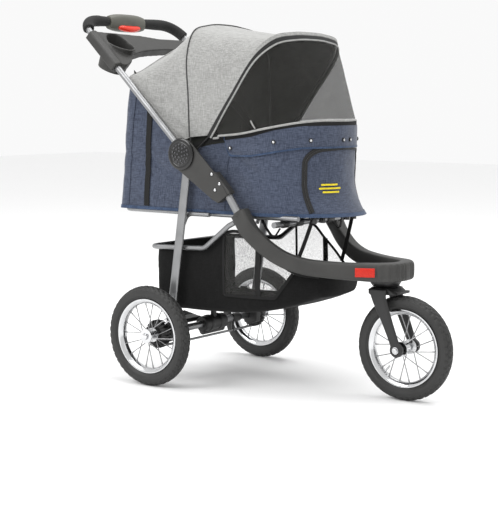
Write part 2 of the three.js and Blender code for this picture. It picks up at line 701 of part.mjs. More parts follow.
function rimHeight(x) {
  const points = [
    [-150, 850], [-125, 852], [75, 662], [110, 676], [160, 686], [292, 702], [358, 720], [422, 731], [600, 733],
  ];
  const k = points.findIndex(([at], i) => i > 0 && x <= at) || 1;
  const [[x0, z0], [x1, z1]] = [points[k - 1], points[k]];
  return THREE.MathUtils.mapLinear(THREE.MathUtils.clamp(x, x0, x1), x0, x1, z0, z1);
}

function tubRing(level, inset, lift) {
  const front = TUB_FRONT.get(level) - inset;
  const rear = THREE.MathUtils.lerp(TUB_REAR.bottom, TUB_REAR.top, level) + inset;
  const half = CABIN_HALF_WIDTH - inset;
  const straight = [rear + 25, -40, 60, 95, 160, 250, TUB_ROUND_START];
  const right = straight.map((x) => [x, -half]);
  const nose = Array.from({ length: 11 }, (_, k) => {
    const turn = Math.PI * (k + 1) / 12 - Math.PI / 2;
    return [TUB_ROUND_START + (front - TUB_ROUND_START) * Math.cos(turn), half * Math.sin(turn)];
  });
  const left = straight.map((x) => [x, half]).reverse();
  const back = [[rear, half - 25], [rear, 0], [rear, -half + 25]];
  return [...right, ...nose, ...left, ...back].map(([x, y]) => {
    const bottom = CABIN_BOTTOM + inset;
    return vec(x, y, bottom + (rimHeight(x) + lift - bottom) * level);
  });
}

function carriageTub() {
  const levels = [...TUB_FRONT.keys()];
  const outside = loft(levels.map((level) => tubRing(level, 0, 0)));
  const inside = loft(levels.map((level) => tubRing(level, FABRIC, 40)));
  return cut(outside, inside);
}

function floorBoard() {
  const top = CABIN_BOTTOM + FABRIC + GAP;
  const outline = tubRing(0, FABRIC + 12, 0);
  return loft([top, top + 6].map((z) => outline.map((p) => vec(p.x, p.y, z))));
}

const FLOOR_FRAME_Z = 480;

function floorFrame() {
  const corner = (x, y) => vec(x, y, FLOOR_FRAME_Z);
  const corners = [corner(430, -158), corner(-182, -158), corner(-182, 158), corner(430, 158)];
  return bar(rounded(corners, 40, 4), 7, 8);
}

// A bent tube from under the floor frame down beside the leg.
function floorStrut() {
  return bar(rounded([vec(150, 180, 479), vec(72, 180, 479), vec(46, 180, 424)], 30, 4), 6, 8);
}

add('carriage_tub', carriageTub(), COLOUR.denim, 0.95);
add('floor_board', floorBoard(), COLOUR.black, 0.8);
add('floor_frame', floorFrame(), COLOUR.silver, 0.4, 0.8);
addPair('floor_strut', floorStrut(), COLOUR.silver, 0.4, 0.8);
add('floor_crossbar', rod(8, -188, 188, { x: 372, z: 463 }, 14), COLOUR.silver, 0.4, 0.8);

// ---- Basket ----
// Stations: x, half width, height of the bottom and height of the top edge.
const BASKET_STATIONS = [
  [-54, 154, 228, 384], [-36, 171, 209, 384], [60, 171, 206, 385], [128, 171, 207, 388], [205, 171, 210, 434],
  [255, 169, 214, 434], [300, 162, 220, 398], [345, 148, 229, 366], [400, 122, 245, 330], [455, 96, 266, 322],
];

function basketRing(x, half, low, high, inset, lift) {
  const w = half - inset;
  const corner = 24;
  const bottom = low + inset;
  return [[-w, high + lift], [-w, bottom + corner], [-w + corner, bottom], [w - corner, bottom],
    [w, bottom + corner], [w, high + lift]].map(([y, z]) => vec(x, y, z));
}

function basket() {
  const outside = loft(BASKET_STATIONS.map((s) => basketRing(...s, 0, 0)));
  const last = BASKET_STATIONS.length - 1;
  const inside = loft(BASKET_STATIONS.map(([x, ...size], i) => {
    const shift = i === 0 ? FABRIC : i === last ? -FABRIC : 0;
    return basketRing(x + shift, ...size, FABRIC, 60);
  }));
  return cut(outside, inside);
}

function basketRail() {
  const y = 181;
  return bar(rounded([vec(238, -y, 463), vec(216, -y, 452), vec(132, -y, 386), vec(-64, -y, 379), vec(-64, y, 379),
    vec(132, y, 386), vec(216, y, 452), vec(238, y, 463)], 34, 3), 7, 8);
}

add('basket', basket(), COLOUR.black, 0.95);
add('basket_rail', basketRail(), COLOUR.silver, 0.4, 0.8);

export default stroller;
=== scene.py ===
"""The looks of a three-wheeled folding pet stroller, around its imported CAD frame.

Lengths are in millimetres from the middle of the rear axle's place on the floor, and at() turns
them into the frame's metres. +X is forward, +Y is the stroller's left and +Z is up.
"""

from math import copysign, cos, exp, pi, radians, sin, tan

import bmesh
import bpy
from mathutils import Matrix, Vector, noise


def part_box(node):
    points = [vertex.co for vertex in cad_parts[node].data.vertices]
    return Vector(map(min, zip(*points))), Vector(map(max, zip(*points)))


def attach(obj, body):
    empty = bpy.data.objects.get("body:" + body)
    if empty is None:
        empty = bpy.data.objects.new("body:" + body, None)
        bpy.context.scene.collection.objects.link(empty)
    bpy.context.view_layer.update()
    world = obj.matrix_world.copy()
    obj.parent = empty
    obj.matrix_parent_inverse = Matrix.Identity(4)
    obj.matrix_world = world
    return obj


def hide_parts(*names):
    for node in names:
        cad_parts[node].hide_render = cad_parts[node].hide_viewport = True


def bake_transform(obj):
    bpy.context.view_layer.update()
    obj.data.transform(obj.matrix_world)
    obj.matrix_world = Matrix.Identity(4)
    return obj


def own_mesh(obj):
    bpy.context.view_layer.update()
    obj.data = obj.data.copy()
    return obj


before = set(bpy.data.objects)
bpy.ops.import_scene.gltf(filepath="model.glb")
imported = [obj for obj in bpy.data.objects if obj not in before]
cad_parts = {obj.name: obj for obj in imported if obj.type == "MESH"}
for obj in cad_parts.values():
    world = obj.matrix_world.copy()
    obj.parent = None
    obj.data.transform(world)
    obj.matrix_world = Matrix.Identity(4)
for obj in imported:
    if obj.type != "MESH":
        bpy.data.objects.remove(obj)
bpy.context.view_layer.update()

MM = 0.001
wheel_low, wheel_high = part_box("rear_wheel_left_tyre")
AXLE_X = (wheel_low.x + wheel_high.x) / 2
AXLE_Z = (wheel_low.z + wheel_high.z) / 2 / MM
REAR_WHEEL_Y = (wheel_low.y + wheel_high.y) / 2 / MM
front_low, front_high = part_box("front_wheel_tyre")
FRONT_AXLE_X = ((front_low.x + front_high.x) / 2 - AXLE_X) / MM
HINGE = Vector((92, 0, 645))
HANDLE_ANGLE = radians(136)
HANDLE_REACH = 539.6
HANDLE_Y = 213
STEERING_X = 603
SIDES = (("right", -1), ("left", 1))


def at(x, y, z):
    """A point of the frame, in metres."""
    return Vector((AXLE_X + x * MM, y * MM, z * MM))


# ---- Shapes ----
def circle(count):
    """Angles spread evenly over one turn."""
    return [2 * pi * i / count for i in range(count)]


def oval(count, power):
    """(across, up) pairs round a circle, which grows squarer as power falls below 1."""
    pairs = [(cos(a), sin(a)) for a in circle(count)]
    return [(copysign(abs(c) ** power, c), copysign(abs(s) ** power, s)) for c, s in pairs]


def heading(path, k):
    """The direction of a path at its point k."""
    return (path[min(k + 1, len(path) - 1)] - path[max(k - 1, 0)]).normalized()


class Shape:
    """Points in millimetres, faces, and each face's material number."""

    def __init__(self):
        self.points = []
        self.faces = []
        self.slots = []

    def add(self, points, faces, slot=0):
        base = len(self.points)
        self.points += [Vector(p) for p in points]
        self.faces += [[base + i for i in face] for face in faces]
        self.slots += [slot] * len(faces)
        return self

    def skin(self, rings, slot=0, closed=True, caps=True, loop=False):
        """A skin over rings of equal size. closed joins a ring's ends, loop joins the first and last ring."""
        size = len(rings[0])
        count = len(rings)
        faces = []
        for k in range(count if loop else count - 1):
            a = k * size
            b = (k + 1) % count * size
            for i in range(size if closed else size - 1):
                j = (i + 1) % size
                faces.append((a + i, a + j, b + j, b + i))
        if caps and closed and not loop:
            faces.append(tuple(reversed(range(size))))
            faces.append(tuple((count - 1) * size + i for i in range(size)))
        return self.add([p for ring in rings for p in ring], faces, slot)

    def tube(self, path, radius, sides=20, slot=0, flat=1.0):
        """A round bar along a path; flat squeezes it across its second direction."""
        path = [Vector(p) for p in path]
        across = None
        rings = []
        for k, point in enumerate(path):
            along = heading(path, k)
            if across is None:
                across = along.cross(Vector((0, 1, 0)) if abs(along.y) < 0.9 else Vector((1, 0, 0)))
            across = (across - along * across.dot(along)).normalized()
            up = along.cross(across)
            r = radius(k / (len(path) - 1)) if callable(radius) else radius
            rings.append([point + across * r * cos(a) + up * r * flat * sin(a) for a in circle(sides)])
        return self.skin(rings, slot)

    def turned(self, profile, centre, axis="y", segments=64, slot=0, change=None):
        """Turns (radius, height) pairs about a line through centre. change(turn, r, h) may move a point."""
        rings = []
        for turn in circle(segments):
            ring = []
            for r, h in profile:
                if change:
                    r, h = change(turn, r, h)
                c, s = r * cos(turn), r * sin(turn)
                offset = {"x": (h, c, s), "y": (c, h, s), "z": (c, s, h)}[axis]
                ring.append(Vector(centre) + Vector(offset))
            rings.append(ring)
        return self.skin(rings, slot, closed=False, loop=True)

    def dome(self, centre, normal, radius, height, slot=0, sides=10):
        """A small raised button, such as a screw head, snap or dot."""
        normal = Vector(normal).normalized()
        across = normal.orthogonal().normalized()
        up = normal.cross(across)
        rings = []
        for share, lift in ((1, -0.5), (1, 0.35), (0.8, 0.75), (0.45, 0.95), (0.02, 1)):
            middle = Vector(centre) + normal * height * lift
            rings.append([middle + (across * cos(a) + up * sin(a)) * radius * share for a in circle(sides)])
        return self.skin(rings, slot)

    def ribbon(self, path, across, width, thick):
        """A flat strap along a path. across gives the direction of its width at each point."""
        path = [Vector(p) for p in path]
        rings = []
        for k, point in enumerate(path):
            side = Vector(across[k] if isinstance(across, list) else across).normalized()
            along = heading(path, k)
            side = (side - along * side.dot(along)).normalized()
            lift = along.cross(side) * thick / 2
            half = side * width / 2
            edge = side * (width / 2 - thick * 0.4)
            rings.append([point - half, point - edge + lift, point + edge + lift, point + half,
                          point + edge - lift, point - edge - lift])
        return self.skin(rings)

    def moved_to(self, sign):
        """Puts a shape that was built on the left on the side that sign gives."""
        self.points = [Vector((p.x, sign * p.y, p.z)) for p in self.points]
        return self


def bezier(start, corner, end, count):
    """Points on a curve that leaves start towards corner and arrives at end."""
    start, corner, end = Vector(start), Vector(corner), Vector(end)
    shares = [k / count for k in range(count + 1)]
    return [start * (1 - t) ** 2 + corner * 2 * t * (1 - t) + end * t * t for t in shares]


def rounded(points, bend, turns=10):
    """A path through points with its inner corners rounded."""
    points = [Vector(p) for p in points]
    path = [points[0]]
    for before, corner, after in zip(points, points[1:], points[2:]):
        back, ahead = before - corner, after - corner
        reach = min(bend / tan(back.angle(ahead) / 2), back.length * 0.49, ahead.length * 0.49)
        path += bezier(corner + back.normalized() * reach, corner, corner + ahead.normalized() * reach, turns)
    return path + [points[-1]]


def spline(points, count):
    """count + 1 points on a smooth curve through points, with centripetal spacing."""
    points = [Vector(p) for p in points]
    spans = len(points) - 1
    result = []
    for k in range(count + 1):
        place = spans * k / count
        i = min(int(place), spans - 1)
        w = place - i
        p1, p2 = points[i], points[i + 1]
        p0 = points[i - 1] if i else p1 * 2 - p2
        p3 = points[i + 2] if i + 2 < len(points) else p2 * 2 - p1
        d0, d1, d2 = (max((b - a).length, 1e-6) ** 0.5 for a, b in ((p0, p1), (p1, p2), (p2, p3)))
        t1 = ((p1 - p0) / d0 - (p2 - p0) / (d0 + d1) + (p2 - p1) / d1) * d1
        t2 = ((p2 - p1) / d1 - (p3 - p1) / (d1 + d2) + (p3 - p2) / d2) * d1
        square = (p2 * 3 - p1 * 3 - t1 * 2 - t2) * w ** 2
        result.append(p1 + t1 * w + square + (p1 * 2 - p2 * 2 + t1 + t2) * w ** 3)
    return result


def mirror(points):
    """Points on the other side of the stroller."""
    return [Vector((p[0], -p[1], p[2])) for p in points]


def whole(half):
    """A half outline on the left, run from its mirror image over the middle and back down."""
    return [(x, -y, z) for x, y, z in half] + list(reversed(half[:-1]))


def new_object(name, data):
    obj = bpy.data.objects.new(name, data)
    bpy.context.scene.collection.objects.link(obj)
    return obj


def bake(obj):
    """Applies an object's modifiers."""
    bpy.context.view_layer.update()
    mesh = bpy.data.meshes.new_from_object(obj.evaluated_get(bpy.context.evaluated_depsgraph_get()))
    obj.modifiers.clear()
    obj.data = mesh


def bevel_edges(obj, width):
    edge = obj.modifiers.new("edges", "BEVEL")
    edge.width = width * MM
    edge.segments = 3
    edge.limit_method = "ANGLE"
    edge.angle_limit = radians(30)


def smooth(obj, sharp):
    obj.data.shade_smooth()
    obj.data.set_sharp_from_angle(angle=radians(sharp))


def piece(name, shape, body, slot, materials, replaces=(), bevel=0, sharp=40, thick=0):
    mesh = bpy.data.meshes.new(name)
    mesh.from_pydata([at(*p) for p in shape.points], [], shape.faces)
    for polygon, number in zip(mesh.polygons, shape.slots):
        polygon.material_index = number
    for material in materials:
        mesh.materials.append(material)
    obj = new_object(name, mesh)
    work = bmesh.new()
    work.from_mesh(mesh)
    bmesh.ops.remove_doubles(work, verts=work.verts, dist=0.02 * MM)
    bmesh.ops.dissolve_degenerate(work, edges=work.edges, dist=0.01 * MM)
    if not thick:
        bmesh.ops.recalc_face_normals(work, faces=work.faces)
    work.to_mesh(mesh)
    work.free()
    if thick:
        solid = obj.modifiers.new("thickness", "SOLIDIFY")
        solid.thickness = thick * MM
        solid.offset = -1
        solid.material_offset = 1 if len(materials) > 1 else 0
    if bevel:
        bevel_edges(obj, bevel)
    if obj.modifiers:
        bake(obj)
    smooth(obj, sharp)
    return dress(obj, body, replaces)


def dress(obj, body, replaces=()):
    """Gives an object its body and the CAD nodes that it stands for."""
    if body:
        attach(obj, body)
    if replaces:
        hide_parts(*replaces)
    return obj


def from_node(node, ending, material):
    """A copy of a CAD node's own solid, in one material."""
    obj = new_object(node + ending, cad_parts[node].data.copy())
    obj.data.materials.clear()
    obj.data.materials.append(material)
    return obj


def moulding(node, body, material, voxel=1.8, passes=8):
    """A moulded piece from a CAD node's own solid, with all its edges rounded off."""
    obj = from_node(node, "_moulding", material)
    remesh = obj.modifiers.new("remesh", "REMESH")
    remesh.mode = "VOXEL"
    remesh.voxel_size = voxel * MM
    even = obj.modifiers.new("even", "SMOOTH")
    even.factor = 0.5
    even.iterations = passes
    bake(obj)
    smooth(obj, 60)
    return dress(obj, body, [node])


def machined(node, body, material, bevel=1.5):
    """A piece from a CAD node's own solid, with bevelled edges."""
    obj = from_node(node, "_body", material)
    work = bmesh.new()
    work.from_mesh(obj.data)
    bmesh.ops.remove_doubles(work, verts=work.verts, dist=0.02 * MM)
    bmesh.ops.dissolve_limit(work, angle_limit=radians(4), verts=work.verts, edges=work.edges)
    work.to_mesh(obj.data)
    work.free()
    bevel_edges(obj, bevel)
    bake(obj)
    smooth(obj, 40)
    return dress(obj, body, [node])


def bar(name, path, radius, sides, node, body="front_frame", bevel=0):
    """A drawn silver tube that stands for a CAD node."""
    return piece(name, Shape().tube(path, radius, sides), body, "silver_tube", [SILVER], [node], bevel=bevel)


# ---- Materials ----
THREAD_PITCH = 0.9


class Surface:
    """A Principled material with helpers for its nodes. Scales are in features per metre."""

    def __init__(self, name, rough, metal=0.0, **sockets):
        self.material = bpy.data.materials.new(name)
        self.material.use_nodes = True
        self.tree = self.material.node_tree
        self.bsdf = self.tree.nodes["Principled BSDF"]
        self.bsdf.inputs["Roughness"].default_value = rough
        self.bsdf.inputs["Metallic"].default_value = metal
        for key, value in sockets.items():
            self.bsdf.inputs[key.replace("_", " ")].default_value = value
        self.place = self.node("ShaderNodeTexCoord").outputs["Object"]

    def node(self, kind, **inputs):
        made = self.tree.nodes.new(kind)
        for key, value in inputs.items():
            self.put(made.inputs[key.replace("_", " ")], value)
        return made

    def put(self, socket, value):
        if isinstance(value, bpy.types.NodeSocket):
            self.tree.links.new(value, socket)
        else:
            socket.default_value = value

    def noise(self, scale, detail=2.0, stretch=None):
        place = self.place
        if stretch:
            place = self.node("ShaderNodeMapping", Vector=place, Scale=stretch).outputs["Vector"]
        return self.node("ShaderNodeTexNoise", Vector=place, Scale=scale, Detail=detail).outputs["Fac"]

    def ramp(self, value, low, high, out_low=0.0, out_high=1.0):
        made = self.node("ShaderNodeMapRange", Value=value)
        made.inputs["From Min"].default_value = low
        made.inputs["From Max"].default_value = high
        made.inputs["To Min"].default_value = out_low
        made.inputs["To Max"].default_value = out_high
        return made.outputs["Result"]

    def math(self, operation, a, b=0.0):
        made = self.node("ShaderNodeMath")
        made.operation = operation
        self.put(made.inputs[0], a)
        self.put(made.inputs[1], b)
        return made.outputs["Value"]

    def mix(self, share, a, b):
        made = self.node("ShaderNodeMix")
        made.data_type = "RGBA"
        self.put(made.inputs[0], share)
        self.put(made.inputs[6], a if isinstance(a, bpy.types.NodeSocket) else (*a, 1))
        self.put(made.inputs[7], b if isinstance(b, bpy.types.NodeSocket) else (*b, 1))
        return made.outputs[2]

    def colour(self, socket):
        self.put(self.bsdf.inputs["Base Color"], socket)

    def roughness(self, socket):
        self.put(self.bsdf.inputs["Roughness"], socket)

    def bump(self, height, distance, strength=0.6):
        made = self.node("ShaderNodeBump", Height=height, Distance=distance * MM, Strength=strength)
        self.put(self.bsdf.inputs["Normal"], made.outputs["Normal"])


def plastic(name, colour, rough, grain=900, depth=0.15):
    """Moulded plastic: a fine spark-eroded grain, cloudy roughness and slightly paler worn patches."""
    s = Surface(name, rough)
    cloud = s.noise(14, 4)
    worn = tuple(min(1, c * 1.35 + 0.006) for c in colour)
    s.colour(s.mix(s.ramp(cloud, 0.35, 0.7), colour, worn))
    s.roughness(s.ramp(cloud, 0.3, 0.7, rough - 0.06, rough + 0.08))
    s.bump(s.noise(grain, 3), depth, 0.5)
    return s.material


def metal(name, colour, rough):
    """Metal with fine drawn lines and faint smudges."""
    s = Surface(name, rough, 1.0)
    smudge = s.noise(22, 4)
    dull = tuple(c * 0.82 for c in colour)
    s.colour(s.mix(s.ramp(smudge, 0.3, 0.75), colour, dull))
    s.roughness(s.ramp(smudge, 0.3, 0.75, rough, rough + 0.1))
    s.bump(s.noise(1, 2, (1500, 1500, 60)), 0.03, 0.3)
    return s.material


def weave(s):
    """The height of a plain weave: two sets of threads, over and under each other."""
    threads = []
    for stretch in ((1, 0, 1), (0, 1, 0)):
        place = s.node("ShaderNodeMapping", Vector=s.place, Scale=stretch).outputs["Vector"]
        wave = s.node("ShaderNodeTexWave", Vector=place, Scale=1000 / THREAD_PITCH / 2)
        wave.bands_direction = "DIAGONAL"
        threads.append(wave.outputs["Fac"])
    return s.math("MULTIPLY", s.math("ADD", *threads), 0.5)


def cloth(name, dark, light, rough=0.95, sheen=0.25):
    """Heather cloth: dark and light yarns in both directions, with slubs, a weave and soft creases."""
    s = Surface(name, rough, Sheen_Weight=sheen, Sheen_Roughness=0.5)
    s.bsdf.inputs["Specular IOR Level"].default_value = 0.2
    warp = s.noise(1, 3, (520, 520, 70))
    weft = s.noise(1, 3, (70, 70, 520))
    yarn = s.math("MULTIPLY", s.math("ADD", warp, weft), 0.5)
    base = s.mix(s.ramp(yarn, 0.38, 0.64), dark, light)
    fade = s.ramp(s.noise(9, 4), 0.3, 0.7, 0.0, 0.16)
    s.colour(s.mix(fade, base, tuple(min(1, c * 1.25) for c in light)))
    creases = s.math("MULTIPLY", s.noise(16, 3), 6.0)
    fine = s.math("MULTIPLY", weave(s), 0.12)
    height = s.math("ADD", s.math("ADD", creases, fine), s.math("MULTIPLY", yarn, 0.25))
    s.bump(height, 0.9, 0.45)
    return s.material


def netting(name, colour, open_share, thinnest, thickest, pitch=1.5):
    """Open mesh: cells of air between dark threads. thinnest and thickest say how much it covers."""
    s = Surface(name, 0.8)
    s.bsdf.inputs["Specular IOR Level"].default_value = 0.25
    cells = s.node("ShaderNodeTexVoronoi", Vector=s.place, Scale=1000 / pitch)
    solid = s.ramp(cells.outputs["Distance"], open_share - 0.12, open_share + 0.12)
    s.colour(s.mix(s.noise(30, 2), colour, tuple(c * 1.8 for c in colour)))
    s.put(s.bsdf.inputs["Alpha"], s.ramp(solid, 0, 1, thinnest, thickest))
    s.bump(solid, 0.2, 0.4)
    return s.material


def webbing(name, colour, rough=0.8):
    """Woven strap: ribs across it and a slight shine on the threads."""
    s = Surface(name, rough)
    s.bsdf.inputs["Specular IOR Level"].default_value = 0.3
    ribs = s.noise(1, 2, (900, 900, 900))
    s.colour(s.mix(ribs, colour, tuple(c * 2.2 + 0.004 for c in colour)))
    s.bump(ribs, 0.4, 0.5)
    return s.material


CHARCOAL = plastic("charcoal_moulding", (0.022, 0.0215, 0.020), 0.55)
BLACK = plastic("black_moulding", (0.008, 0.008, 0.008), 0.45)
SATIN_BLACK = plastic("satin_black", (0.006, 0.006, 0.006), 0.16, 700, 0.02)
OLIVE = plastic("olive_cover", (0.085, 0.085, 0.070), 0.5)
FOAM = plastic("foam", (0.012, 0.012, 0.012), 0.92, 1400, 0.6)
RED = plastic("trigger_red", (0.66, 0.026, 0.008), 0.22, 500, 0.03)
RUBBER = plastic("tyre_rubber", (0.014, 0.014, 0.0135), 0.56, 600, 0.25)
SILVER = metal("silver_tube", (0.30, 0.303, 0.308), 0.38)
CHROME = metal("chrome", (0.66, 0.665, 0.675), 0.09)
STEEL = metal("steel", (0.36, 0.36, 0.365), 0.25)
DARK_CHROME = metal("dark_chrome", (0.10, 0.10, 0.105), 0.10)
CANOPY = cloth("canopy_heather", (0.205, 0.205, 0.198), (0.36, 0.36, 0.35))
LINING = cloth("lining", (0.012, 0.013, 0.011), (0.022, 0.023, 0.020), sheen=0.05)
DENIM = cloth("denim_heather", (0.024, 0.030, 0.050), (0.074, 0.090, 0.132), sheen=0.25)
BINDING = cloth("blue_binding", (0.020, 0.033, 0.066), (0.048, 0.076, 0.138), sheen=0.2)
GREY_TRIM = cloth("grey_trim", (0.20, 0.20, 0.195), (0.38, 0.38, 0.37), sheen=0.1)
DARK_TRIM = webbing("dark_trim", (0.030, 0.030, 0.030))
STRAP = webbing("black_webbing", (0.004, 0.004, 0.004))
ZIP = webbing("zip_tape", (0.008, 0.008, 0.008), 0.6)
BASKET_CLOTH = cloth("basket_nylon", (0.002, 0.002, 0.002), (0.006, 0.006, 0.006), 0.85, 0.03)
NET = netting("window_net", (0.026, 0.026, 0.024), 0.47, 0.14, 0.50)
BASKET_NET = netting("basket_net", (0.060, 0.060, 0.058), 0.5, 0.12, 0.42, 2.2)
YELLOW = cloth("yellow_thread", (0.55, 0.42, 0.010), (0.80, 0.66, 0.03), sheen=0.3)


def reflector_red():
    """Red plastic over rows of small prisms."""
    s = Surface("reflector_red", 0.35)
    s.bsdf.inputs["Specular IOR Level"].default_value = 0.3
    prisms = s.node("ShaderNodeTexVoronoi", Vector=s.place, Scale=420.0).outputs["Distance"]
    s.colour(s.mix(s.ramp(prisms, 0.1, 0.7), (0.62, 0.022, 0.004), (0.46, 0.010, 0.003)))
    s.bump(prisms, 0.8, 0.8)
    s.bsdf.inputs["Coat Weight"].default_value = 0.15
    return s.material


REFLECTOR = reflector_red()

# ---- Wheels ----
TREAD_BLOCKS = 44
SPOKES = 18
RIM_RADIUS = 91


def tyre_profile():
    """A section from bead to bead over the tread, then back along the rim seat."""
    profile = []
    for k in range(59):
        a = radians(-138 + 276 * k / 58)
        wall = abs(sin(a))
        sunk = 0.0 if 0.62 < wall < 0.70 or 0.86 < wall < 0.92 else 0.8
        profile.append((121 + (19 - sunk) * cos(a), (20 - sunk) * sin(a)))
    return [(104, -9)] + profile + [(104, 9), (104, -9)]


def tread(turn, r, h):
    """Sinks the gaps between staggered blocks in the outer third of the tyre."""
    if r < 129:
        return r, h
    row = int(abs(h) > 6) + int(abs(h) > 12)
    share = (turn / (2 * pi) * TREAD_BLOCKS + 0.5 * (row % 2)) % 1
    groove = share < 0.28 or 5.0 < abs(h) < 6.6 or 11.2 < abs(h) < 12.6
    return (r + 0.8 - (2.8 if groove else 0.0)), h


def wheel(name, x, y, half, valve_turn):
    """A tyre, a rim with its valve and a spoked hub. half is half the hub's width."""
    centre = (x, y, AXLE_Z)
    tyre = Shape().turned(tyre_profile(), centre, segments=264, change=tread)
    piece(name + "_tyre_rubber", tyre, name, "tyre", [RUBBER], [name + "_tyre"], sharp=50)
    rim = Shape().turned([
        (104.2, -13.6), (101, -14.2), (98.5, -12.4), (93, -9.6), (90.6, -5), (90.3, 0), (90.6, 5), (93, 9.6),
        (98.5, 12.4), (101, 14.2), (104.2, 13.6), (104.2, 12), (99.5, 10), (95, 5), (95, -5), (99.5, -10),
        (104.2, -12), (104.2, -13.6)], centre, segments=120)
    out = Vector((cos(valve_turn), 0, sin(valve_turn)))
    rim.tube([Vector(centre) + out * RIM_RADIUS, Vector(centre) + out * 70], 2.6, 12)
    piece(name + "_rim_chrome", rim, name, "chrome", [CHROME], [name + "_rim"], sharp=60)
    hub = Shape()
    flange = half - 6
    hub.turned([
        (5.6, -half), (9, -half), (10, -half + 2), (10, -flange - 2), (20, -flange - 1.4),
        (20, -flange + 1.4), (12, -flange + 4), (10.5, 0), (12, flange - 4), (20, flange - 1.4),
        (20, flange + 1.4), (10, flange + 2), (10, half - 2), (9, half), (5.6, half), (5.6, -half)],
        centre, segments=48)
    for k, a in enumerate(circle(SPOKES)):
        side = 1 if k % 2 else -1
        foot = a - radians(16 if k % 4 < 2 else -16)
        start = Vector(centre) + Vector((17.5 * cos(foot), side * flange, 17.5 * sin(foot)))
        end = Vector(centre) + Vector((RIM_RADIUS * cos(a), side * 2.5, RIM_RADIUS * sin(a)))
        hub.tube([start, end], 1.4, 8, slot=1)
        hub.tube([end.lerp(start, 0.10), end], 2.0, 8, slot=1)
    piece(name + "_hub_and_wire", hub, name, "chrome", [CHROME, STEEL], [name + "_hub_spokes"], sharp=50)


wheel("rear_wheel_right", 0, -REAR_WHEEL_Y, 20, 0.6)
wheel("rear_wheel_left", 0, REAR_WHEEL_Y, 20, 2.2)
wheel("front_wheel", FRONT_AXLE_X, 0, 30, 4.0)


# ---- Front frame: arms, nose, hinge covers ----
# Along an arm and the nose: x, height of the middle, height and thickness of the section.
ARM_STATIONS = [
    (274, 492, 48, 36), (307, 444, 46, 36), (345, 403, 44, 35), (390, 372, 43, 35),
    (440, 355, 43, 35), (500, 348, 44, 36), (560, 345, 46, 38),
]
NOSE_STATIONS = [(604, 344, 49, 40), (631, 344, 50, 41), (647, 344, 50, 41), (652, 344, 50, 40)]
NOSE_HALF_WIDTHS = [69, 53, 33, 12]
ARM_STEPS = 520
RIB_PITCH = 10.5


def arm_y(x):
    """How far the arms stand from the middle."""
    return 206 - 0.456 * max(0, x - 305)


def arm_loop():
    """Both arms and the nose as one moulding, a rounded channel with upright ribs across the nose."""
    half = [((x, -arm_y(x), z), (height, thick)) for x, z, height, thick in ARM_STATIONS]
    for (x, z, height, thick), y in zip(NOSE_STATIONS, NOSE_HALF_WIDTHS):
        half.append(((x, -y, z), (height, thick)))
    centres = [Vector(p) for p, _ in half]
    centres += mirror(reversed(centres))
    sizes = [Vector((*size, 0)) for _, size in half]
    sizes += list(reversed(sizes))
    path = spline(centres, ARM_STEPS)
    size = spline(sizes, ARM_STEPS)
    rings = []
    for k, point in enumerate(path):
        along = heading(path, k)
        out = along.cross(Vector((0, 0, 1))).normalized()
        up = out.cross(along)
        height, thick, _ = size[k]
        rib = 0.0
        if point.x > 614 and abs(point.y) > 8:
            rib = 1.7 * sin(point.y * 2 * pi / RIB_PITCH) - 1.2
        ring = []
        for c, s in oval(32, 0.42):
            side = c * thick / 2
            lift = s * height / 2
            if side > thick * 0.3:
                side += rib * max(0, 1 - abs(lift) / (height * 0.46)) ** 0.3
            ring.append(point + out * side + up * lift)
        rings.append(ring)
    return Shape().skin(rings)


piece("frame_arms", arm_loop(), "front_frame", "moulded_plastic", [CHARCOAL],
      ["front_arm_right", "front_arm_left", "nose_cover"], sharp=70)
machined("deck_plate", "front_frame", BLACK, 2)
for name, _ in SIDES:
    machined("reflector_" + name, "front_frame", REFLECTOR, 1.6)

HINGE_FACE = 228.9
SHELL_END = Vector((243, 0, 536))
TUBE_SLOPE = Vector((0.576, 0, -0.818))
SHELL_SIDE = Vector((0.818, 0, 0.576))


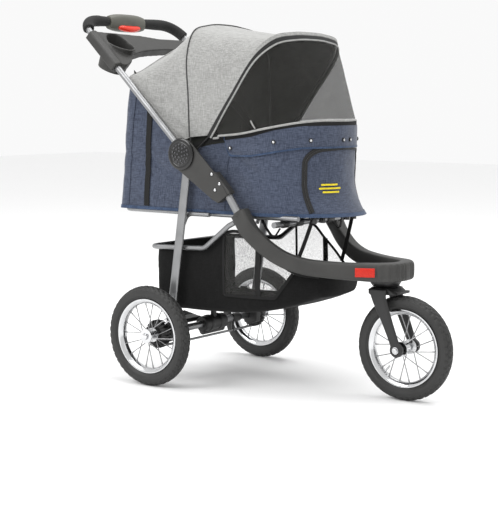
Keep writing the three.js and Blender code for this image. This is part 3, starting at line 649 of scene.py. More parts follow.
def hinge_side(name, sign):
    """The moulded cover of one hinge, with its seam and screws, the dotted cap and the tube below."""
    moulding("hinge_shell_" + name, "front_frame", CHARCOAL, 1.4, 6)
    trim = Shape()
    seam = [HINGE + Vector((40, 0, 22)), SHELL_END + SHELL_SIDE * 6 + Vector((-30, 0, 44)),
            SHELL_END + SHELL_SIDE * 7]
    trim.tube([Vector((p.x, sign * HINGE_FACE, p.z)) for p in spline(seam, 12)], 0.9, 8, slot=1)
    for x, z in ((196, 594), (222, 569), (207, 552)):
        rim = [(0, 0), (6.2, 0), (6.2, sign * 0.9), (4.8, sign * 1.2), (4.6, sign * 0.3), (0, sign * 0.3)]
        trim.turned(rim, (x, sign * 228.6, z), segments=24, slot=1)
        trim.dome((x, sign * 228.8, z), (0, sign, 0), 4.2, 2.0, sides=16)
    piece("hinge_trim_" + name, trim, "front_frame", "chrome", [CHROME, BLACK])
    cap = Shape().turned([
        (0, 229.2), (42.5, 229.2), (43.5, 231), (43, 233.4), (40, 235), (34, 235.6), (32.5, 234.6),
        (31, 235.4), (0, 235.8)], (HINGE.x, 0, HINGE.z), segments=96).moved_to(sign)
    for ring_radius, count in ((26, 15), (17.5, 10), (9, 5)):
        for k in range(count):
            a = 2 * pi * (k + 0.5 * (ring_radius % 2)) / count
            p = (HINGE.x + ring_radius * cos(a), sign * 235.2, HINGE.z + ring_radius * sin(a))
            cap.dome(p, (0, sign, 0), 3.2, 2.6, 1, 12)
    piece("hinge_cap_dotted_" + name, cap, "front_frame", "black_plastic", [SATIN_BLACK, DARK_CHROME],
          ["hinge_cap_" + name])
    start = SHELL_END - TUBE_SLOPE * 6
    end = Vector((274, 0, 492)) + TUBE_SLOPE * 4
    shift = Vector((0, sign * HANDLE_Y, 0))
    bar("lower_tube_drawn_" + name, [start + shift, end + shift], 11, 40, "lower_tube_" + name)
    collar = [end - TUBE_SLOPE * 9 + shift * 0.995, end + TUBE_SLOPE * 3 + shift * 0.985]
    piece("lower_tube_collar_" + name, Shape().tube(collar, 15.5, 40), "front_frame", "moulded_plastic",
          [CHARCOAL], bevel=2)
    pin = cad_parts["hinge_pin_" + name].data.materials
    pin.clear()
    pin.append(STEEL)


for name, sign in SIDES:
    hinge_side(name, sign)

# ---- Steering and fork ----
socket = Shape().turned([(8.4, 300.7), (33, 300.7), (35, 302), (40, 309), (43, 317), (43, 321), (0, 321),
                         (0, 313.7), (8.4, 313.7), (8.4, 300.7)], (STEERING_X, 0, 0), "z", 64)
piece("steering_socket_turned", socket, "front_frame", "black_plastic", [BLACK], ["steering_socket"])
stem = Shape().turned([(0, 300), (8, 300), (8, 313.2), (0, 313.2)], (STEERING_X, 0, 0), "z", 48)
piece("steering_stem_turned", stem, "fork", "steel_pin", [STEEL], ["steering_stem"])
moulding("front_fork", "fork", BLACK, 1.6, 8)
moulding("fork_guard", "fork", BLACK, 0.9, 2)


def fairing_shape():
    """A swept cover under the fork's crown that runs forward over the tyre."""
    outline = [(574, 299.4), (632, 299.4), (644, 293), (656, 284), (646, 282.5), (620, 281.5), (596, 283),
               (580, 287)]
    rings = []
    for k in range(17):
        share = -1 + k / 8
        inset = 5 * abs(share) ** 4
        rings.append([Vector((x + (inset if x < 610 else -inset), share * 36, z)) for x, z in outline])
    return Shape().skin(rings)


piece("fork_crown_fairing", fairing_shape(), "fork", "black_plastic", [BLACK], bevel=1.6)


def nut(shape, centre, sign):
    """A hexagon nut with a domed bolt end."""
    centre = Vector(centre)
    rings = []
    for h, r in ((0, 7.6), (4.2, 7.6), (5, 6.8)):
        rings.append([centre + Vector((r * cos(a), sign * h, r * sin(a))) for a in circle(6)])
    shape.skin(rings)
    shape.dome(centre + Vector((0, sign * 4.6, 0)), (0, sign, 0), 4.2, 1.6, sides=16)


axle = Shape()
axle.tube([(FRONT_AXLE_X, -51, AXLE_Z), (FRONT_AXLE_X, 51, AXLE_Z)], 5, 24)
for _, sign in SIDES:
    washer = [(0, sign * 50.8), (9.5, sign * 50.8), (9.5, sign * 52.4), (0, sign * 52.4)]
    axle.turned(washer, (FRONT_AXLE_X, 0, AXLE_Z), segments=32)
    nut(axle, (FRONT_AXLE_X, sign * 52.2, AXLE_Z), sign)
piece("front_axle_and_nuts", axle, "fork", "chrome", [CHROME], ["front_axle"])

# ---- Rear frame ----
LEG_FOOT = Vector((21, 0, 165))
LEG_Y = 197.1
FINS = 22


def flat_oval(path, width, thick):
    """A flat-sided tube: a slot-shaped section swept along a path in the XZ plane."""
    across = Vector((0, 1, 0))
    rings = []
    for k, point in enumerate(path):
        side = heading(path, k).cross(across).normalized()
        ring = []
        for a in circle(28):
            flat = (width - thick) / 2 * (1 if cos(a) >= 0 else -1)
            ring.append(point + side * (flat + thick / 2 * cos(a)) + across * thick / 2 * sin(a))
        rings.append(ring)
    return Shape().skin(rings)


def fins(turn, r, h):
    """Sinks the gaps between a brake drum's cooling fins."""
    gap = (turn / (2 * pi) * FINS) % 1 < 0.45
    return (r - 5.5 if gap and r > 30 and h > 215 else r), h


def rear_side(name, sign):
    """One rear leg with its foot, brake drum and axle bolt."""
    path = [HINGE.lerp(LEG_FOOT, k / 20) + Vector((0, sign * LEG_Y, 0)) for k in range(21)]
    piece("rear_leg_drawn_" + name, flat_oval(path, 27, 12.6), "rear_frame", "silver_tube", [SILVER],
          ["rear_leg_" + name])
    moulding("foot_bracket_" + name, "rear_frame", BLACK, 1.5, 8)
    drum = Shape().turned([
        (5.6, 214), (36, 214), (39.5, 216), (40, 218), (40, 232), (38, 235), (31, 238.4), (24, 239),
        (23, 236), (16, 236), (14, 239), (5.6, 239), (5.6, 214)],
        (0, 0, AXLE_Z), segments=FINS * 10, change=fins).moved_to(sign)
    piece("brake_drum_finned_" + name, drum, "rear_frame", "black_plastic", [BLACK], ["brake_drum_" + name])
    bolt = Shape().tube([(0, sign * 212, AXLE_Z), (0, sign * 282.6, AXLE_Z)], 5, 24)
    head = [(0, 282.2), (8.4, 282.2), (8.4, 283.4), (6, 284.2), (0, 284.4)]
    bolt.turned([(r, sign * h) for r, h in head], (0, 0, AXLE_Z), segments=32)
    piece("axle_bolt_turned_" + name, bolt, "rear_frame", "chrome", [CHROME], ["axle_bolt_" + name])


for name, sign in SIDES:
    rear_side(name, sign)
bar("axle_tube_drawn", [(0, -187.7, AXLE_Z), (0, 187.7, AXLE_Z)], 10, 40, "axle_tube", "rear_frame", 0.6)
bar("brake_rod_drawn", [(0, -213.7, 103), (0, 213.7, 103)], 3.5, 24, "brake_rod", "rear_frame")
clamps = Shape()
for low, high in ((-150, -112), (112, 150)):
    clamps.tube([(0, low, AXLE_Z), (0, high, AXLE_Z)], 12.5, 32)
    clamps.tube([(0, low + 8, AXLE_Z - 8), (0, low + 8, 100)], 5, 20, flat=0.7)
piece("axle_tube_sleeves", clamps, "rear_frame", "black_plastic", [BLACK], bevel=1.2)
bracket = Shape().turned([
    (10.4, -30), (20, -30), (22.5, -28), (22.5, -8), (25, -6), (25, 4), (22.5, 6), (22.5, 34), (25, 36),
    (25, 46), (22.5, 48), (22.5, 68), (20, 70), (10.4, 70), (10.4, -30)], (0, 0, AXLE_Z))
bracket.tube([(0, -27, 121), (0, 67, 121)], 12, 32)
bracket.tube([(-19, -6, 150), (-19, 46, 150)], 9, 28)
bracket.tube([(6, 19, 158), (6, 19, 203)], 9, 28, flat=0.9)
piece("brake_bracket_barrel", bracket, "rear_frame", "black_plastic", [BLACK], ["brake_bracket"], bevel=1)
moulding("brake_pedal", "pedal", BLACK, 1.3, 6)
ridges = Shape()
for k in range(6):
    x = -87 + 5.4 * k
    z = 168.6 - 1.05 * k
    ridges.tube([(x, -60, z), (x, 0, z)], 1.5, 10)
piece("pedal_grip_ridges", ridges, "pedal", "black_plastic", [BLACK])

# ---- Handle ----
ALONG = Vector((cos(HANDLE_ANGLE), 0, sin(HANDLE_ANGLE)))
OUT = Vector((sin(HANDLE_ANGLE), 0, -cos(HANDLE_ANGLE)))
HANDLE_BEND = 80
HOUSING = (-95, 55)


def on_handle(reach, y, off=0.0):
    """A point in the handle's slope, a reach from the hinge and off the slope by off."""
    return Vector((HINGE.x, y, HINGE.z)) + ALONG * reach + OUT * off


def sleeve_radius(share):
    """A foam sleeve's radius, a little smaller at its ends."""
    return 16 * (1 - 0.12 * max(0, 1 - min(share, 1 - share) * 60))


corners = [(20, -HANDLE_Y), (HANDLE_REACH, -HANDLE_Y), (HANDLE_REACH, HANDLE_Y), (20, HANDLE_Y)]
handle = rounded([on_handle(*corner) for corner in corners], HANDLE_BEND, 16)
bar("handle_tube_drawn", handle, 8.9, 32, "handle_tube", "handle")
fine = [a.lerp(b, k / 24) for a, b in zip(handle, handle[1:]) for k in range(24)]
for (name, sign), start, end in zip(SIDES, (500, 488), (HOUSING[0] - 0.3, HOUSING[1] + 0.3)):
    grip = [p for p in fine if (p - HINGE).dot(ALONG) > start and sign * p.y > sign * end]
    sleeve = Shape().tube(grip, sleeve_radius, 36)
    piece("foam_sleeve_" + name, sleeve, "handle", "foam", [FOAM], ["foam_grip_" + name])

HOUSING_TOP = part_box("grip_housing")[1].z / MM
HOUSING_SIZE = (18.6, HOUSING_TOP - on_handle(HANDLE_REACH - 3, 0).z)


def housing_shape():
    """A cover that swells over the middle of the bar, flat at its ends."""
    rings = []
    for k in range(41):
        share = k / 40
        y = HOUSING[0] + (HOUSING[1] - HOUSING[0]) * share
        swell = 0.73 + 0.27 * (1 - abs(2 * share - 1) ** 3.2)
        centre = on_handle(HANDLE_REACH - 3, y)
        wide, high = HOUSING_SIZE
        rings.append([centre + Vector((c * wide * swell, 0, s * high * swell)) for c, s in oval(40, 0.9)])
    return Shape().skin(rings)


piece("grip_housing_swell", housing_shape(), "handle", "grip_cover", [OLIVE], ["grip_housing"], bevel=1.5)


TRIGGER_TOP = 521


def trigger_shape():
    """A paddle with round ends whose lower edge bows towards the middle."""
    low_y, high_y = -67, 27
    rings = []
    for k in range(41):
        share = -1 + k / 20
        full = max(0.05, 1 - abs(share) ** 5) ** 0.4
        bottom = 500 + 10 * abs(share) ** 1.6
        middle = (bottom + TRIGGER_TOP) / 2
        y = (low_y + high_y) / 2 + share * (high_y - low_y) / 2
        ring = []
        for a, (c, s) in zip(circle(24), oval(24, 0.7)):
            off = c * 8.0 * full * (1 + 0.25 * min(0, sin(a)))
            ring.append(on_handle(middle + s * (TRIGGER_TOP - bottom) / 2 * full, y, off))
        rings.append(ring)
    return Shape().skin(rings)


piece("fold_trigger_paddle", trigger_shape(), "release_trigger", "trigger", [RED], ["fold_trigger"], sharp=60)
moulding("cup_tray", "handle", CHARCOAL, 1.7, 9)

# ---- Canopy ----
# Half outlines of the canopy's hoops, from the left foot to the middle of the top.
REAR_EDGE = [(58, 195, 678), (-32, 196, 765), (-122, 196, 852), (-119, 150, 872), (-100, 70, 916),
             (-86, 0, 944)]
MID_EDGE = [(90, 191, 690), (86, 191, 800), (82, 191, 908), (76, 155, 975), (66, 75, 996), (60, 0, 1001)]
FRONT_EDGE = [(152, 191, 696), (232, 191, 807), (311, 189, 909), (345, 152, 948), (356, 74, 961),
              (360, 0, 963)]
RIM_EDGE = [(166, 186, 692), (262, 186, 700), (345, 177, 716), (420, 128, 731), (462, 64, 735), (478, 0, 735)]
AROUND = 120


def hoop(half):
    """A hoop through a half outline and its mirror image, from the right foot to the left foot."""
    return spline(whole(half), AROUND)


def panel(rear, front, across, sag, first, last, wrinkle=0.0):
    """Rows of points between two hoops. sag pulls the middle in, wrinkle adds creases near the feet."""
    a, b = hoop(rear), hoop(front)
    inside = Vector((120, 0, 700))
    rows = []
    for i in range(AROUND + 1):
        u = i / AROUND
        foot = 1 - min(1, min(u, 1 - u) * 5)
        row = []
        for k in range(across + 1):
            v = first + (last - first) * k / across
            p = a[i].lerp(b[i], v)
            inwards = inside - p
            inwards.x *= 0.25
            inwards.normalize()
            dip = sag * sin(pi * v) * (1 - foot * 0.6)
            crease = wrinkle * foot * sin(u * 95 + v * 9) * sin(pi * v)
            soft = 1.6 * noise.noise(p * 0.016) * sin(pi * v)
            row.append(p + inwards * (dip + crease + soft))
        rows.append(row)
    return rows


def cloth_piece(name, rows, slot, materials, node, thick=1.6):
    """A sheet of cloth over rows of points, and the size it was cut to."""
    shape = Shape().skin(rows, closed=False)
    width = sum((b[0] - a[0]).length for a, b in zip(rows, rows[1:]))
    width = max(width, sum((b[-1] - a[-1]).length for a, b in zip(rows, rows[1:])))
    length = max(sum((q - p).length for p, q in zip(row, row[1:])) for row in rows)
    area = 0.0
    for a, b in zip(rows, rows[1:]):
        for k in range(len(a) - 1):
            area += (a[k + 1] - a[k]).cross(b[k] - a[k]).length / 2
            area += (a[k + 1] - b[k + 1]).cross(b[k] - b[k + 1]).length / 2
    obj = piece(name, shape, None, slot, materials, [node], thick=thick, sharp=60)
    width, length, area = width * MM, length * MM, area * MM * MM
    return obj, (width, length), max(0.3 * width * length, area)


def edge_band(edge, towards, offset, lift):
    """A path along a hoop, offset towards another hoop and lifted off the cloth, and the way across it."""
    path, across = [], []
    for p, q in zip(hoop(edge), hoop(towards)):
        direction = q - p if (q - p).length > 30 else Vector((0.8, 0, -0.4))
        direction.normalize()
        over = abs(p.y) > 1 or p.z > 850
        out = Vector((0, p.y, max(0, p.z - 850))).normalized() if over else Vector((0, 0, 1))
        path.append(p + direction * offset + out * lift)
        across.append(direction)
    return path, across


rear_cloth, *rear_cut = cloth_piece("canopy_rear_cloth", panel(REAR_EDGE, MID_EDGE, 20, 9, 0.0, 0.995, 3.0),
                                    "canopy_cloth", [CANOPY, LINING], "canopy_rear")
front_cloth, *front_cut = cloth_piece("canopy_front_cloth", panel(MID_EDGE, FRONT_EDGE, 26, 7, 0.005, 0.98),
                                      "canopy_cloth", [CANOPY, LINING], "canopy_front")
net_cloth, *net_cut = cloth_piece("mesh_cover_net", panel(FRONT_EDGE, RIM_EDGE, 24, -3, 0.02, 0.97),
                                  "mesh_cloth", [NET], "mesh_cover", thick=0.6)


def gather(obj):
    """Gives the mesh front its own copy of its mesh."""
    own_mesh(obj)


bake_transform(rear_cloth)
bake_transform(front_cloth)
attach(net_cloth, "canopy_hood")
gather(net_cloth)

middle = Vector((120, 0, 700))
piping = [p + Vector((0, 0, 0.5)) + (p - middle).normalized() * 1.2 for p in hoop(MID_EDGE)]
piece("mid_bow_piping", Shape().tube(piping, 1.7, 10), "canopy_back", "canopy_cloth", [DARK_TRIM])
path, across = edge_band(REAR_EDGE, MID_EDGE, 2, 0.4)
piece("rear_arch_binding", Shape().ribbon(path, across, 9, 3.4), "handle", "canopy_cloth", [GREY_TRIM])
arch_cord = Shape().tube([p + OUT * -1.2 for p in hoop(REAR_EDGE)], 1.8, 10)
piece("rear_arch_piping", arch_cord, "handle", "canopy_cloth", [DARK_TRIM])

flap_edge = hoop(REAR_EDGE)[AROUND * 2 // 5: AROUND * 3 // 5 + 1]
flap_rows = [[p + Vector((-7 * k, 0, -1 - 9 * k)) for k in range(4)] for p in flap_edge]
flap = Shape().skin(flap_rows, closed=False)
piece("rear_arch_flap", flap, "handle", "canopy_cloth", [LINING], thick=1.4, sharp=60)

for label, offset, width, thick, lift, finish in (
        ("grey_hem", -5, 11, 3.4, 1.0, GREY_TRIM), ("zip_tape", 6, 12, 3.0, 0.6, ZIP)):
    path, across = edge_band(FRONT_EDGE, RIM_EDGE, offset, lift)
    band = Shape().ribbon(path, across, width, thick)
    piece("hood_" + label, band, "canopy_hood", "canopy_cloth", [finish])
path, _ = edge_band(FRONT_EDGE, RIM_EDGE, 14, 1.4)
piece("hood_grey_piping", Shape().tube(path, 2.4, 12), "canopy_hood", "canopy_cloth", [GREY_TRIM])
path, _ = edge_band(RIM_EDGE, FRONT_EDGE, 4, 1.0)
net_hem = Shape().tube([p + Vector((0, 0, -2)) for p in path], 3.1, 12)
gather(piece("mesh_cover_hem", net_hem, "canopy_hood", "canopy_cloth", [GREY_TRIM]))

BOWS = {
    "mid_bow": ("canopy_back", [(91, 187.4, 656), (83, 187.4, 970), (60, 0, 995)]),
    "front_bow": ("canopy_hood", [(100, 181.5, 650), (150, 181.5, 692), (338, 181.5, 943), (354, 0, 957)]),
}
for node, (body, half) in BOWS.items():
    bow = Shape().tube(rounded(whole(half), 105, 14), 2.6, 16)
    for _, sign in SIDES:
        low, high = sign * half[0][1] - 2.6, sign * half[0][1] + 2.6
        bow.turned([(5.4, low), (15, low), (15, high), (5.4, high), (5.4, low)], HINGE, segments=40)
    piece(node + "_covered_wire", bow, body, "bow", [BLACK], [node])

# ---- Carriage ----
CABIN_BOTTOM = 488
CABIN_HALF = 176
RIM_LINE = [(-150, 850), (-125, 852), (75, 662), (110, 676), (160, 686), (292, 702), (358, 720), (422, 731),
            (600, 733)]
CORNER = 25
NOSE_START = 290
CREASES = [(238, 640, 15, -7), (300, 600, 12, -4), (-20, 600, 14, -5), (-118, 620, 11, -5)]
SIDE_STEPS = 46
NOSE_STEPS = 60
CORNER_STEPS = 6
BACK_STEPS = 16


def rim_height(x):
    """The height of the tub's upper edge."""
    for (x0, z0), (x1, z1) in zip(RIM_LINE, RIM_LINE[1:]):
        if x <= x1:
            share = (max(x, x0) - x0) / (x1 - x0)
            return z0 + (z1 - z0) * share
    return RIM_LINE[-1][1]


def plan_points():
    """The tub's plan as (kind, share) places, from the right rear corner round the nose and back."""
    places = [("right", k / SIDE_STEPS) for k in range(SIDE_STEPS)]
    places += [("nose", k / NOSE_STEPS) for k in range(NOSE_STEPS + 1)]
    places += [("left", 1 - (k + 1) / SIDE_STEPS) for k in range(SIDE_STEPS)]
    places += [("left_corner", (k + 1) / CORNER_STEPS) for k in range(CORNER_STEPS)]
    places += [("back", (k + 1) / BACK_STEPS) for k in range(BACK_STEPS - 1)]
    places += [("right_corner", k / CORNER_STEPS) for k in range(CORNER_STEPS)]
    return places


def tub_point(place, level, proud=0.0, creases=True):
    """A point on the tub's cloth: level 0 is the floor and 1 the rim. proud lifts it off the cloth."""
    kind, share = place
    rear = -190 + 40 * level
    low = max(0, 1 - level / 0.35)
    front = 466 + 8 * level + 44 * low ** 1.7
    half = CABIN_HALF + proud
    if kind in ("right", "left"):
        x = rear + CORNER + (NOSE_START - rear - CORNER) * share
        y = -half if kind == "right" else half
        normal = Vector((0, -1 if kind == "right" else 1, 0))
    elif kind == "nose":
        turn = pi * share - pi / 2
        x = NOSE_START + (front + proud - NOSE_START) * max(0, cos(turn))
        y = half * sin(turn)
        normal = Vector((cos(turn), sin(turn), 0))
    elif kind == "back":
        x = rear - proud
        y = (half - CORNER) * (1 - 2 * share)
        normal = Vector((-1, 0, 0))
    else:
        turn = pi / 2 * share
        left = kind == "left_corner"
        over = turn if left else pi / 2 - turn
        x = rear + CORNER - (CORNER + proud) * sin(over)
        y = (CABIN_HALF - CORNER) + (CORNER + proud) * cos(over)
        y = y if left else -y
        normal = Vector((-sin(over), cos(over) if left else -cos(over), 0))
    z = CABIN_BOTTOM + (rim_height(x) - CABIN_BOTTOM) * level
    p = Vector((x, y, z))
    if creases:
        middle = sin(pi * min(1, max(0, level)))
        pull = 6.5 * noise.noise(Vector((x * 0.012, y * 0.012, z * 0.006))) * middle
        fold = 0.0
        for fold_x, fold_z, width, depth in CREASES:
            reach = (x - fold_x) * 0.50 + (z - fold_z) * 0.87
            along = (x - fold_x) * 0.87 - (z - fold_z) * 0.50
            fold += depth * exp(-(reach / width) ** 2 - (along / 75) ** 2) * middle
        soft = 2.0 * noise.noise(p * 0.030) * middle + 0.9 * noise.noise(p * 0.07) * middle
        p += normal * (pull + fold + soft + 2.0 * middle)
    return p, normal


def tub_shape():
    """The tub's wall, and its floor as a ring round a fan."""
    rows = [[tub_point(place, k / 30)[0] for place in plan_points()] for k in range(31)]
    size = len(rows[0])
    middle = Vector((150, 0, CABIN_BOTTOM))
    inner = [p.lerp(middle, 0.5) for p in rows[0]]
    shape = Shape().skin(rows, caps=False).skin([inner, rows[0]], caps=False)
    return shape.add([middle] + inner, [(0, 1 + i, 1 + (i + 1) % size) for i in range(size)])


def collapse(obj):
    """Gives a piece of the carriage's cloth its own copy of its mesh."""
    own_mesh(obj)
    return obj


def sewn_on(name, shape, material, **options):
    """A piece of the tub's cloth or trim."""
    return collapse(piece(name, shape, "front_frame", "denim", [material], **options))


tub = collapse(piece("carriage_denim", tub_shape(), "front_frame", "denim", [DENIM, LINING], ["carriage_tub"],
                     thick=2.0, sharp=60))
machined("floor_board", "front_frame", BLACK, 1.5)


def tub_strip(name, low, high, material, proud, first=0, last=None, thick=1.6, steps=3):
    """A strip of cloth round the tub between two heights, each a function of a place on the plan."""
    places = plan_points()[first:last]
    rows = []
    for k in range(steps + 1):
        shares = [low(place) + (high(place) - low(place)) * k / steps for place in places]
        rows.append([tub_point(place, share, proud)[0] for place, share in zip(places, shares)])
    shape = Shape().skin(rows, closed=last is None, caps=False)
    sewn_on(name, shape, material, thick=thick, sharp=60)


def below_rim(distance):
    """The level that lies a distance below the rim at a place."""
    def level(place):
        x = tub_point(place, 1.0, 0, False)[0].x
        return 1 - distance / (rim_height(x) - CABIN_BOTTOM)
    return level


def above_floor(distance):
    """The level that lies a distance above the floor at a place."""
    def level(place):
        x = tub_point(place, 0.0, 0, False)[0].x
        return distance / (rim_height(x) - CABIN_BOTTOM)
    return level


tub_strip("carriage_floor_binding", above_floor(-5), above_floor(4), BINDING, 2.2)
tub_strip("carriage_rim_binding", below_rim(9), below_rim(-2), STRAP, 2.6)
BAND_FIRST = int(SIDE_STEPS * 0.80)
BAND_LAST = SIDE_STEPS + NOSE_STEPS + 1 + SIDE_STEPS - BAND_FIRST


def band_edge(extra):
    """The level of the snap band's lower edge, which drops away from the rim towards the nose."""
    def level(place):
        x = tub_point(place, 1.0, 0, False)[0].x
        ends = max(0, 1 - (x - 206) / 18)
        return below_rim(52 + 14 * min(1, max(0, (x - 223) / 130)) - 30 * ends ** 2 - extra)(place)
    return level


tub_strip("snap_band", band_edge(0), below_rim(8), DENIM, 4.0, BAND_FIRST, BAND_LAST, thick=2.0, steps=6)
tub_strip("snap_band_binding", band_edge(-2), band_edge(3), BINDING, 5.0, BAND_FIRST, BAND_LAST, thick=2.4)

snaps = Shape()
for kind, share, drop in (("right", 0.84, 31), ("nose", 0.116, 39), ("nose", 0.285, 46), ("nose", 0.47, 46)):
    partner = ("left", share) if kind == "right" else ("nose", 1 - share)
    for place in ((kind, share), partner):
        p, normal = tub_point(place, below_rim(drop)(place), 6.4)
        snaps.dome(p, normal, 5.6, 2.4, sides=20)
        snaps.dome(p + normal * 1.6, normal, 3.0, 1.6, 1, 16)
collapse(piece("band_snaps", snaps, "front_frame", "chrome", [SATIN_BLACK, CHROME]))

# The front door: a zip up both sides and over the top, on the curve of the nose.
DOOR_SHARE = 0.262
DOOR_TOP = 0.70
DOOR_CORNER = 0.11


def door_path():
    """Places on the nose as (share, level) from the foot of one leg over the arch to the other."""
    half = [(DOOR_SHARE, 0.03 + (DOOR_TOP - DOOR_CORNER * 1.6) * k / 24) for k in range(25)]
    side_top = half[-1][1]
    for k in range(1, 17):
        a = pi / 2 * k / 16
        half.append((DOOR_SHARE + DOOR_CORNER * (1 - cos(a)), side_top + DOOR_CORNER * 1.5 * sin(a)))
    share, level = half[-1]
    half += [(share + (0.5 - share) * k / 14, level + 0.012 * sin(pi / 2 * k / 14)) for k in range(1, 15)]
    return half + [(1 - share, level) for share, level in reversed(half[:-1])]


def on_nose(path, proud):
    """The points of a path of (share, level) places on the nose, and the way across it at each."""
    places = [tub_point(("nose", share), level, proud) for share, level in path]
    points = [p for p, _ in places]
    return points, [heading(points, k).cross(normal) for k, (_, normal) in enumerate(places)]


points, across = on_nose(door_path(), 1.9)
sewn_on("door_zip_tape", Shape().ribbon(points, across, 15, 2.2), ZIP)
points, across = on_nose(door_path(), 3.2)
sewn_on("door_zip_teeth", Shape().tube(points, 1.5, 8), SATIN_BLACK)
mark = Shape()
for length, level in ((0.09, 0.325), (0.12, 0.285), (0.09, 0.245)):
    path = [(0.395 + length * (j / 8 - 0.5), level) for j in range(9)]
    mark.ribbon(*on_nose(path, 3.2), 5.0, 1.6)
sewn_on("stitched_bars", mark, YELLOW)

# Webbing down each side near the rear, and a seam down each side ahead of the hinge.
for name, _ in SIDES:
    for label, shares, top, width, material, proud in (
            ("strap", (0.187, 0.152), 0.985, 19, STRAP, 2.6), ("seam", (0.80, 0.82), 0.74, 3, DENIM, 1.8),
            ("rear_seam", (0.035, 0.035), 0.985, 3.4, DENIM, 1.6)):
        path = []
        for k in range(25):
            level = 0.02 + (top - 0.02) * k / 24
            share = shares[0] + (shares[1] - shares[0]) * k / 24
            path.append(tub_point((name, share), level, proud)[0])
        sewn_on("carriage_" + label + "_" + name, Shape().ribbon(path, (1, 0, 0), width, 1.8), material)

# The dark lining stands above the tub's edge and closes the gap under the hood.
for name, sign in SIDES:
    rows = []
    for x in (-122 + 380 * k / 60 for k in range(61)):
        rows.append([Vector((x, sign * 176.5, rim_height(x) - 14 + 10 * j)) for j in range(5)])
    sewn_on("cabin_lining_edge_" + name, Shape().skin(rows, closed=False), LINING, thick=1.2, sharp=60)

# A pull tab on the hood's zip.
pull = Shape().ribbon([(312, -190, 716), (306, -193, 726), (300, -194, 737)], (0.2, 0, 0.9), 4, 1.8)
piece("zip_pull", pull, "canopy_hood", "chrome", [GREY_TRIM])

# ---- Floor frame and basket ----
floor = rounded([(430, -158, 480), (-182, -158, 480), (-182, 158, 480), (430, 158, 480)], 40, 10)
bar("floor_frame_drawn", floor, 7, 24, "floor_frame")
for name, sign in SIDES:
    strut = rounded([(150, sign * 180, 479), (72, sign * 180, 479), (46, sign * 180, 424)], 30, 10)
    bar("floor_strut_drawn_" + name, strut, 6, 20, "floor_strut_" + name)
CROSSBAR_X, CROSSBAR_Z = 372, 463
crossbar = [(CROSSBAR_X, y, CROSSBAR_Z) for y in (-188, 188)]
bar("floor_crossbar_drawn", crossbar, 8, 28, "floor_crossbar")
collars = Shape()
for low, high in ((-150, -128), (-92, -60), (60, 92), (128, 150)):
    collars.tube([(CROSSBAR_X, y, CROSSBAR_Z) for y in (low, high)], 10.5, 28)
piece("crossbar_collars", collars, "front_frame", "black_plastic", [BLACK], bevel=1)

RAIL = [(238, 463), (216, 452), (132, 386), (-64, 379)]
RAIL_Y = 181
rail_points = [(x, -RAIL_Y, z) for x, z in RAIL] + [(x, RAIL_Y, z) for x, z in reversed(RAIL)]
bar("basket_rail_drawn", rounded(rail_points, 34, 8), 7, 24, "basket_rail")

# Along the basket: x, half width, height of the bottom and height of the rim.
BASKET = [
    (-54, 154, 228, 384), (-36, 171, 209, 384), (60, 171, 206, 385), (128, 171, 207, 388),
    (205, 171, 210, 434), (255, 169, 214, 434), (300, 162, 220, 398), (345, 148, 229, 366),
    (400, 122, 245, 330), (455, 96, 266, 322),
]
WINDOW_REAR = 196
WINDOW_FRONT = 396
SILL = 262
FAR_WINDOW_REAR = -30
FAR_SILL = 228


def front_line(x):
    """The slanting lower front edge of the side windows."""
    return 266 + (x - 351) * 1.55


def basket_stations(count):
    places = spline([(x, half, low) for x, half, low, _ in BASKET], count)
    tops = spline([(x, top, 0) for x, _, _, top in BASKET], count)
    return [(p.x, p.y, p.z, t.y) for p, t in zip(places, tops)]


def basket_ring(x, half, low, high):
    """From the right rim down, across the bottom and up to the left rim, with a slight sag."""
    corner = 26
    sides = 16
    ring = []
    for k in range(sides):
        ring.append(Vector((x, -half - 3.0 * sin(pi * k / sides), high + (low + corner - high) * k / sides)))
    for k in range(7):
        a = pi / 2 * k / 6
        ring.append(Vector((x, -half + corner - corner * cos(a), low + corner - corner * sin(a))))
    for share in (k / 16 for k in range(1, 8)):
        ring.append(Vector((x, (-half + corner) * (1 - 2 * share), low - 3 * sin(pi * share))))
    ring.append(Vector((x, 0, low - 3)))
    return ring + mirror(reversed(ring[:-1]))


def basket_shape():
    """The bag with its side windows as material 1 and a flat panel at each end, and its stations."""
    stations = basket_stations(110)
    rings = [basket_ring(*s) for s in stations]
    for ring in rings:
        for p in ring:
            soft = 2.2 * noise.noise(p * 0.022) + 1.0 * noise.noise(p * 0.06)
            p.y += soft * (1 if p.y > 0 else -1)
            p.z += soft * 0.4
    shape = Shape().skin(rings, closed=False)
    for f, face in enumerate(shape.faces):
        centre = sum((shape.points[i] for i in face), Vector()) / len(face)
        rear, sill = (WINDOW_REAR, SILL) if centre.y < 0 else (FAR_WINDOW_REAR, FAR_SILL)
        side = abs(shape.points[face[0]].y) > 60 and centre.z > max(sill, front_line(centre.x))
        if side and rear < centre.x < WINDOW_FRONT:
            shape.slots[f] = 1
    for ring, flip in ((rings[0], True), (rings[-1], False)):
        half = len(ring) // 2
        base = len(shape.points)
        shape.add(ring, [])
        for k in range(half):
            j = len(ring) - 1 - k
            quad = [base + i for i in ([k, k + 1, j - 1, j] if j - 1 != k + 1 else [k, k + 1, j])]
            shape.faces.append(list(reversed(quad)) if flip else quad)
            shape.slots.append(0)
    return shape, stations


def sink(obj):
    """Gives a piece of the basket's cloth its own copy of its mesh."""
    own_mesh(obj)
    return obj


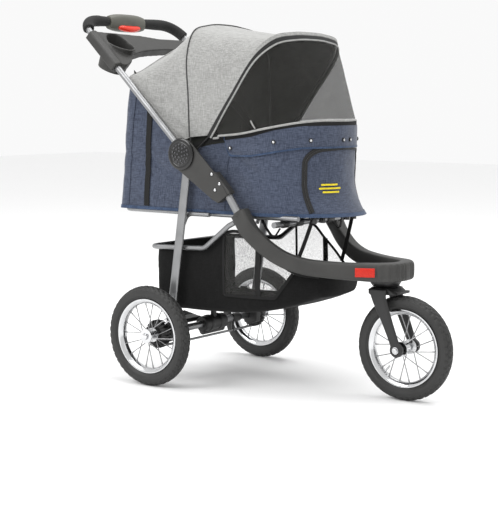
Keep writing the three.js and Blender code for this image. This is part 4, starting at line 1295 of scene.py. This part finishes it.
shape, stations = basket_shape()
bag = sink(piece("basket_bag", shape, "front_frame", "basket_cloth", [BASKET_CLOTH, BASKET_NET],
                 ["basket"], sharp=70))
trim = Shape()
window = [s for s in stations if WINDOW_REAR <= s[0] <= WINDOW_FRONT]
for _, sign in SIDES:
    top = [Vector((x, sign * (half + 0.8), high)) for x, half, low, high in stations]
    trim.ribbon(top, (0, 0, 1), 9, 4.2)
    sill = SILL if sign < 0 else FAR_SILL
    lower = [(x, sign * (half + 4.0), max(sill, min(front_line(x), high))) for x, half, low, high in window]
    trim.ribbon(lower, (0, 0, 1), 8, 1.8)
    for column_x, width in ((WINDOW_REAR, 8), (302, 17)):
        x, half, low, high = min(stations, key=lambda s: abs(s[0] - column_x))
        column = []
        for k in range(13):
            proud = 4.2 * sin(pi * (0.1 + 0.8 * k / 12)) + 0.6
            column.append(Vector((x, sign * (half + proud), SILL + (high - SILL) * k / 12)))
        trim.ribbon(column, (1, 0, 0), width, 1.9)
sink(piece("basket_binding", trim, "front_frame", "basket_cloth", [STRAP]))

straps = Shape()
buckles = Shape()
for _, sign in SIDES:
    for points, count, across, width in (
            ([(246, 172, 434), (262, 176, 452), (286, 178, 472)], 10, (0.4, 0, -0.9), 16),
            ([(388, 118, 340), (412, 108, 404), (438, 98, 484)], 12, (0.9, 0, -0.3), 12),
            ([(300, 150, 484), (330, 160, 448), (352, 160, 430), (366, 150, 452)], 16, (0, 1, 0.2), 10)):
        straps.ribbon(spline([(x, sign * y, z) for x, y, z in points], count), across, width, 2)
    for x, y in ((438, 98), (440, 60)):
        buckles.tube([(x, sign * y, 484), (x, sign * y, 464)], 10, 12, flat=0.5)
piece("frame_straps", straps, "front_frame", "basket_cloth", [STRAP])
piece("strap_buckles", buckles, "front_frame", "black_plastic", [SATIN_BLACK], bevel=1.5)


# ---- Stage, lights and camera ----
FLOOR_REACH = 12
CAMERA_PLACE = at(2391, -3006, 790)
CAMERA_YAW = radians(36.7)
CAMERA_DOWN = radians(6.82)
CAMERA_LENS = 92.06


def stage_floor():
    """A plain pale floor, far larger than the view."""
    mesh = bpy.data.meshes.new("studio_floor")
    corners = [(x * FLOOR_REACH, y * FLOOR_REACH, 0) for x, y in ((-1, -1), (1, -1), (1, 1), (-1, 1))]
    mesh.from_pydata(corners, [], [(0, 1, 2, 3)])
    s = Surface("studio_white", 0.9)
    s.colour(s.mix(s.noise(0.6, 2), (0.93, 0.93, 0.93), (0.94, 0.94, 0.94)))
    mesh.materials.append(s.material)
    new_object("studio_floor", mesh)


def lamp(name, place, target, size, power):
    """A square area light. place and target are in metres."""
    data = bpy.data.lights.new(name, "AREA")
    data.size = size
    data.energy = power
    obj = new_object(name, data)
    obj.location = place
    obj.rotation_euler = (Vector(target) - Vector(place)).to_track_quat("-Z", "Y").to_euler()


def studio():
    world = bpy.data.worlds.new("studio")
    world.use_nodes = True
    background = world.node_tree.nodes["Background"].inputs
    background["Color"].default_value = (1, 1, 1, 1)
    background["Strength"].default_value = 0.95
    bpy.context.scene.world = world
    lamp("key", (-1.6, -3.6, 3.6), (0, 0, 0.6), 2.6, 120)
    lamp("fill", (3.6, -0.6, 2.4), (0, 0, 0.6), 2.4, 15)
    lamp("top", (0.2, 0.6, 4.0), (0, 0, 0.6), 3.0, 90)
    bpy.context.scene.view_settings.view_transform = "Standard"


def camera():
    data = bpy.data.cameras.new("camera")
    data.sensor_width = 36
    data.lens = CAMERA_LENS
    data.clip_end = 60
    obj = new_object("camera", data)
    level = cos(CAMERA_DOWN)
    forward = Vector((-sin(CAMERA_YAW) * level, cos(CAMERA_YAW) * level, -sin(CAMERA_DOWN)))
    obj.location = CAMERA_PLACE
    obj.rotation_euler = forward.to_track_quat("-Z", "Y").to_euler()
    bpy.context.scene.camera = obj


stage_floor()
studio()
camera()
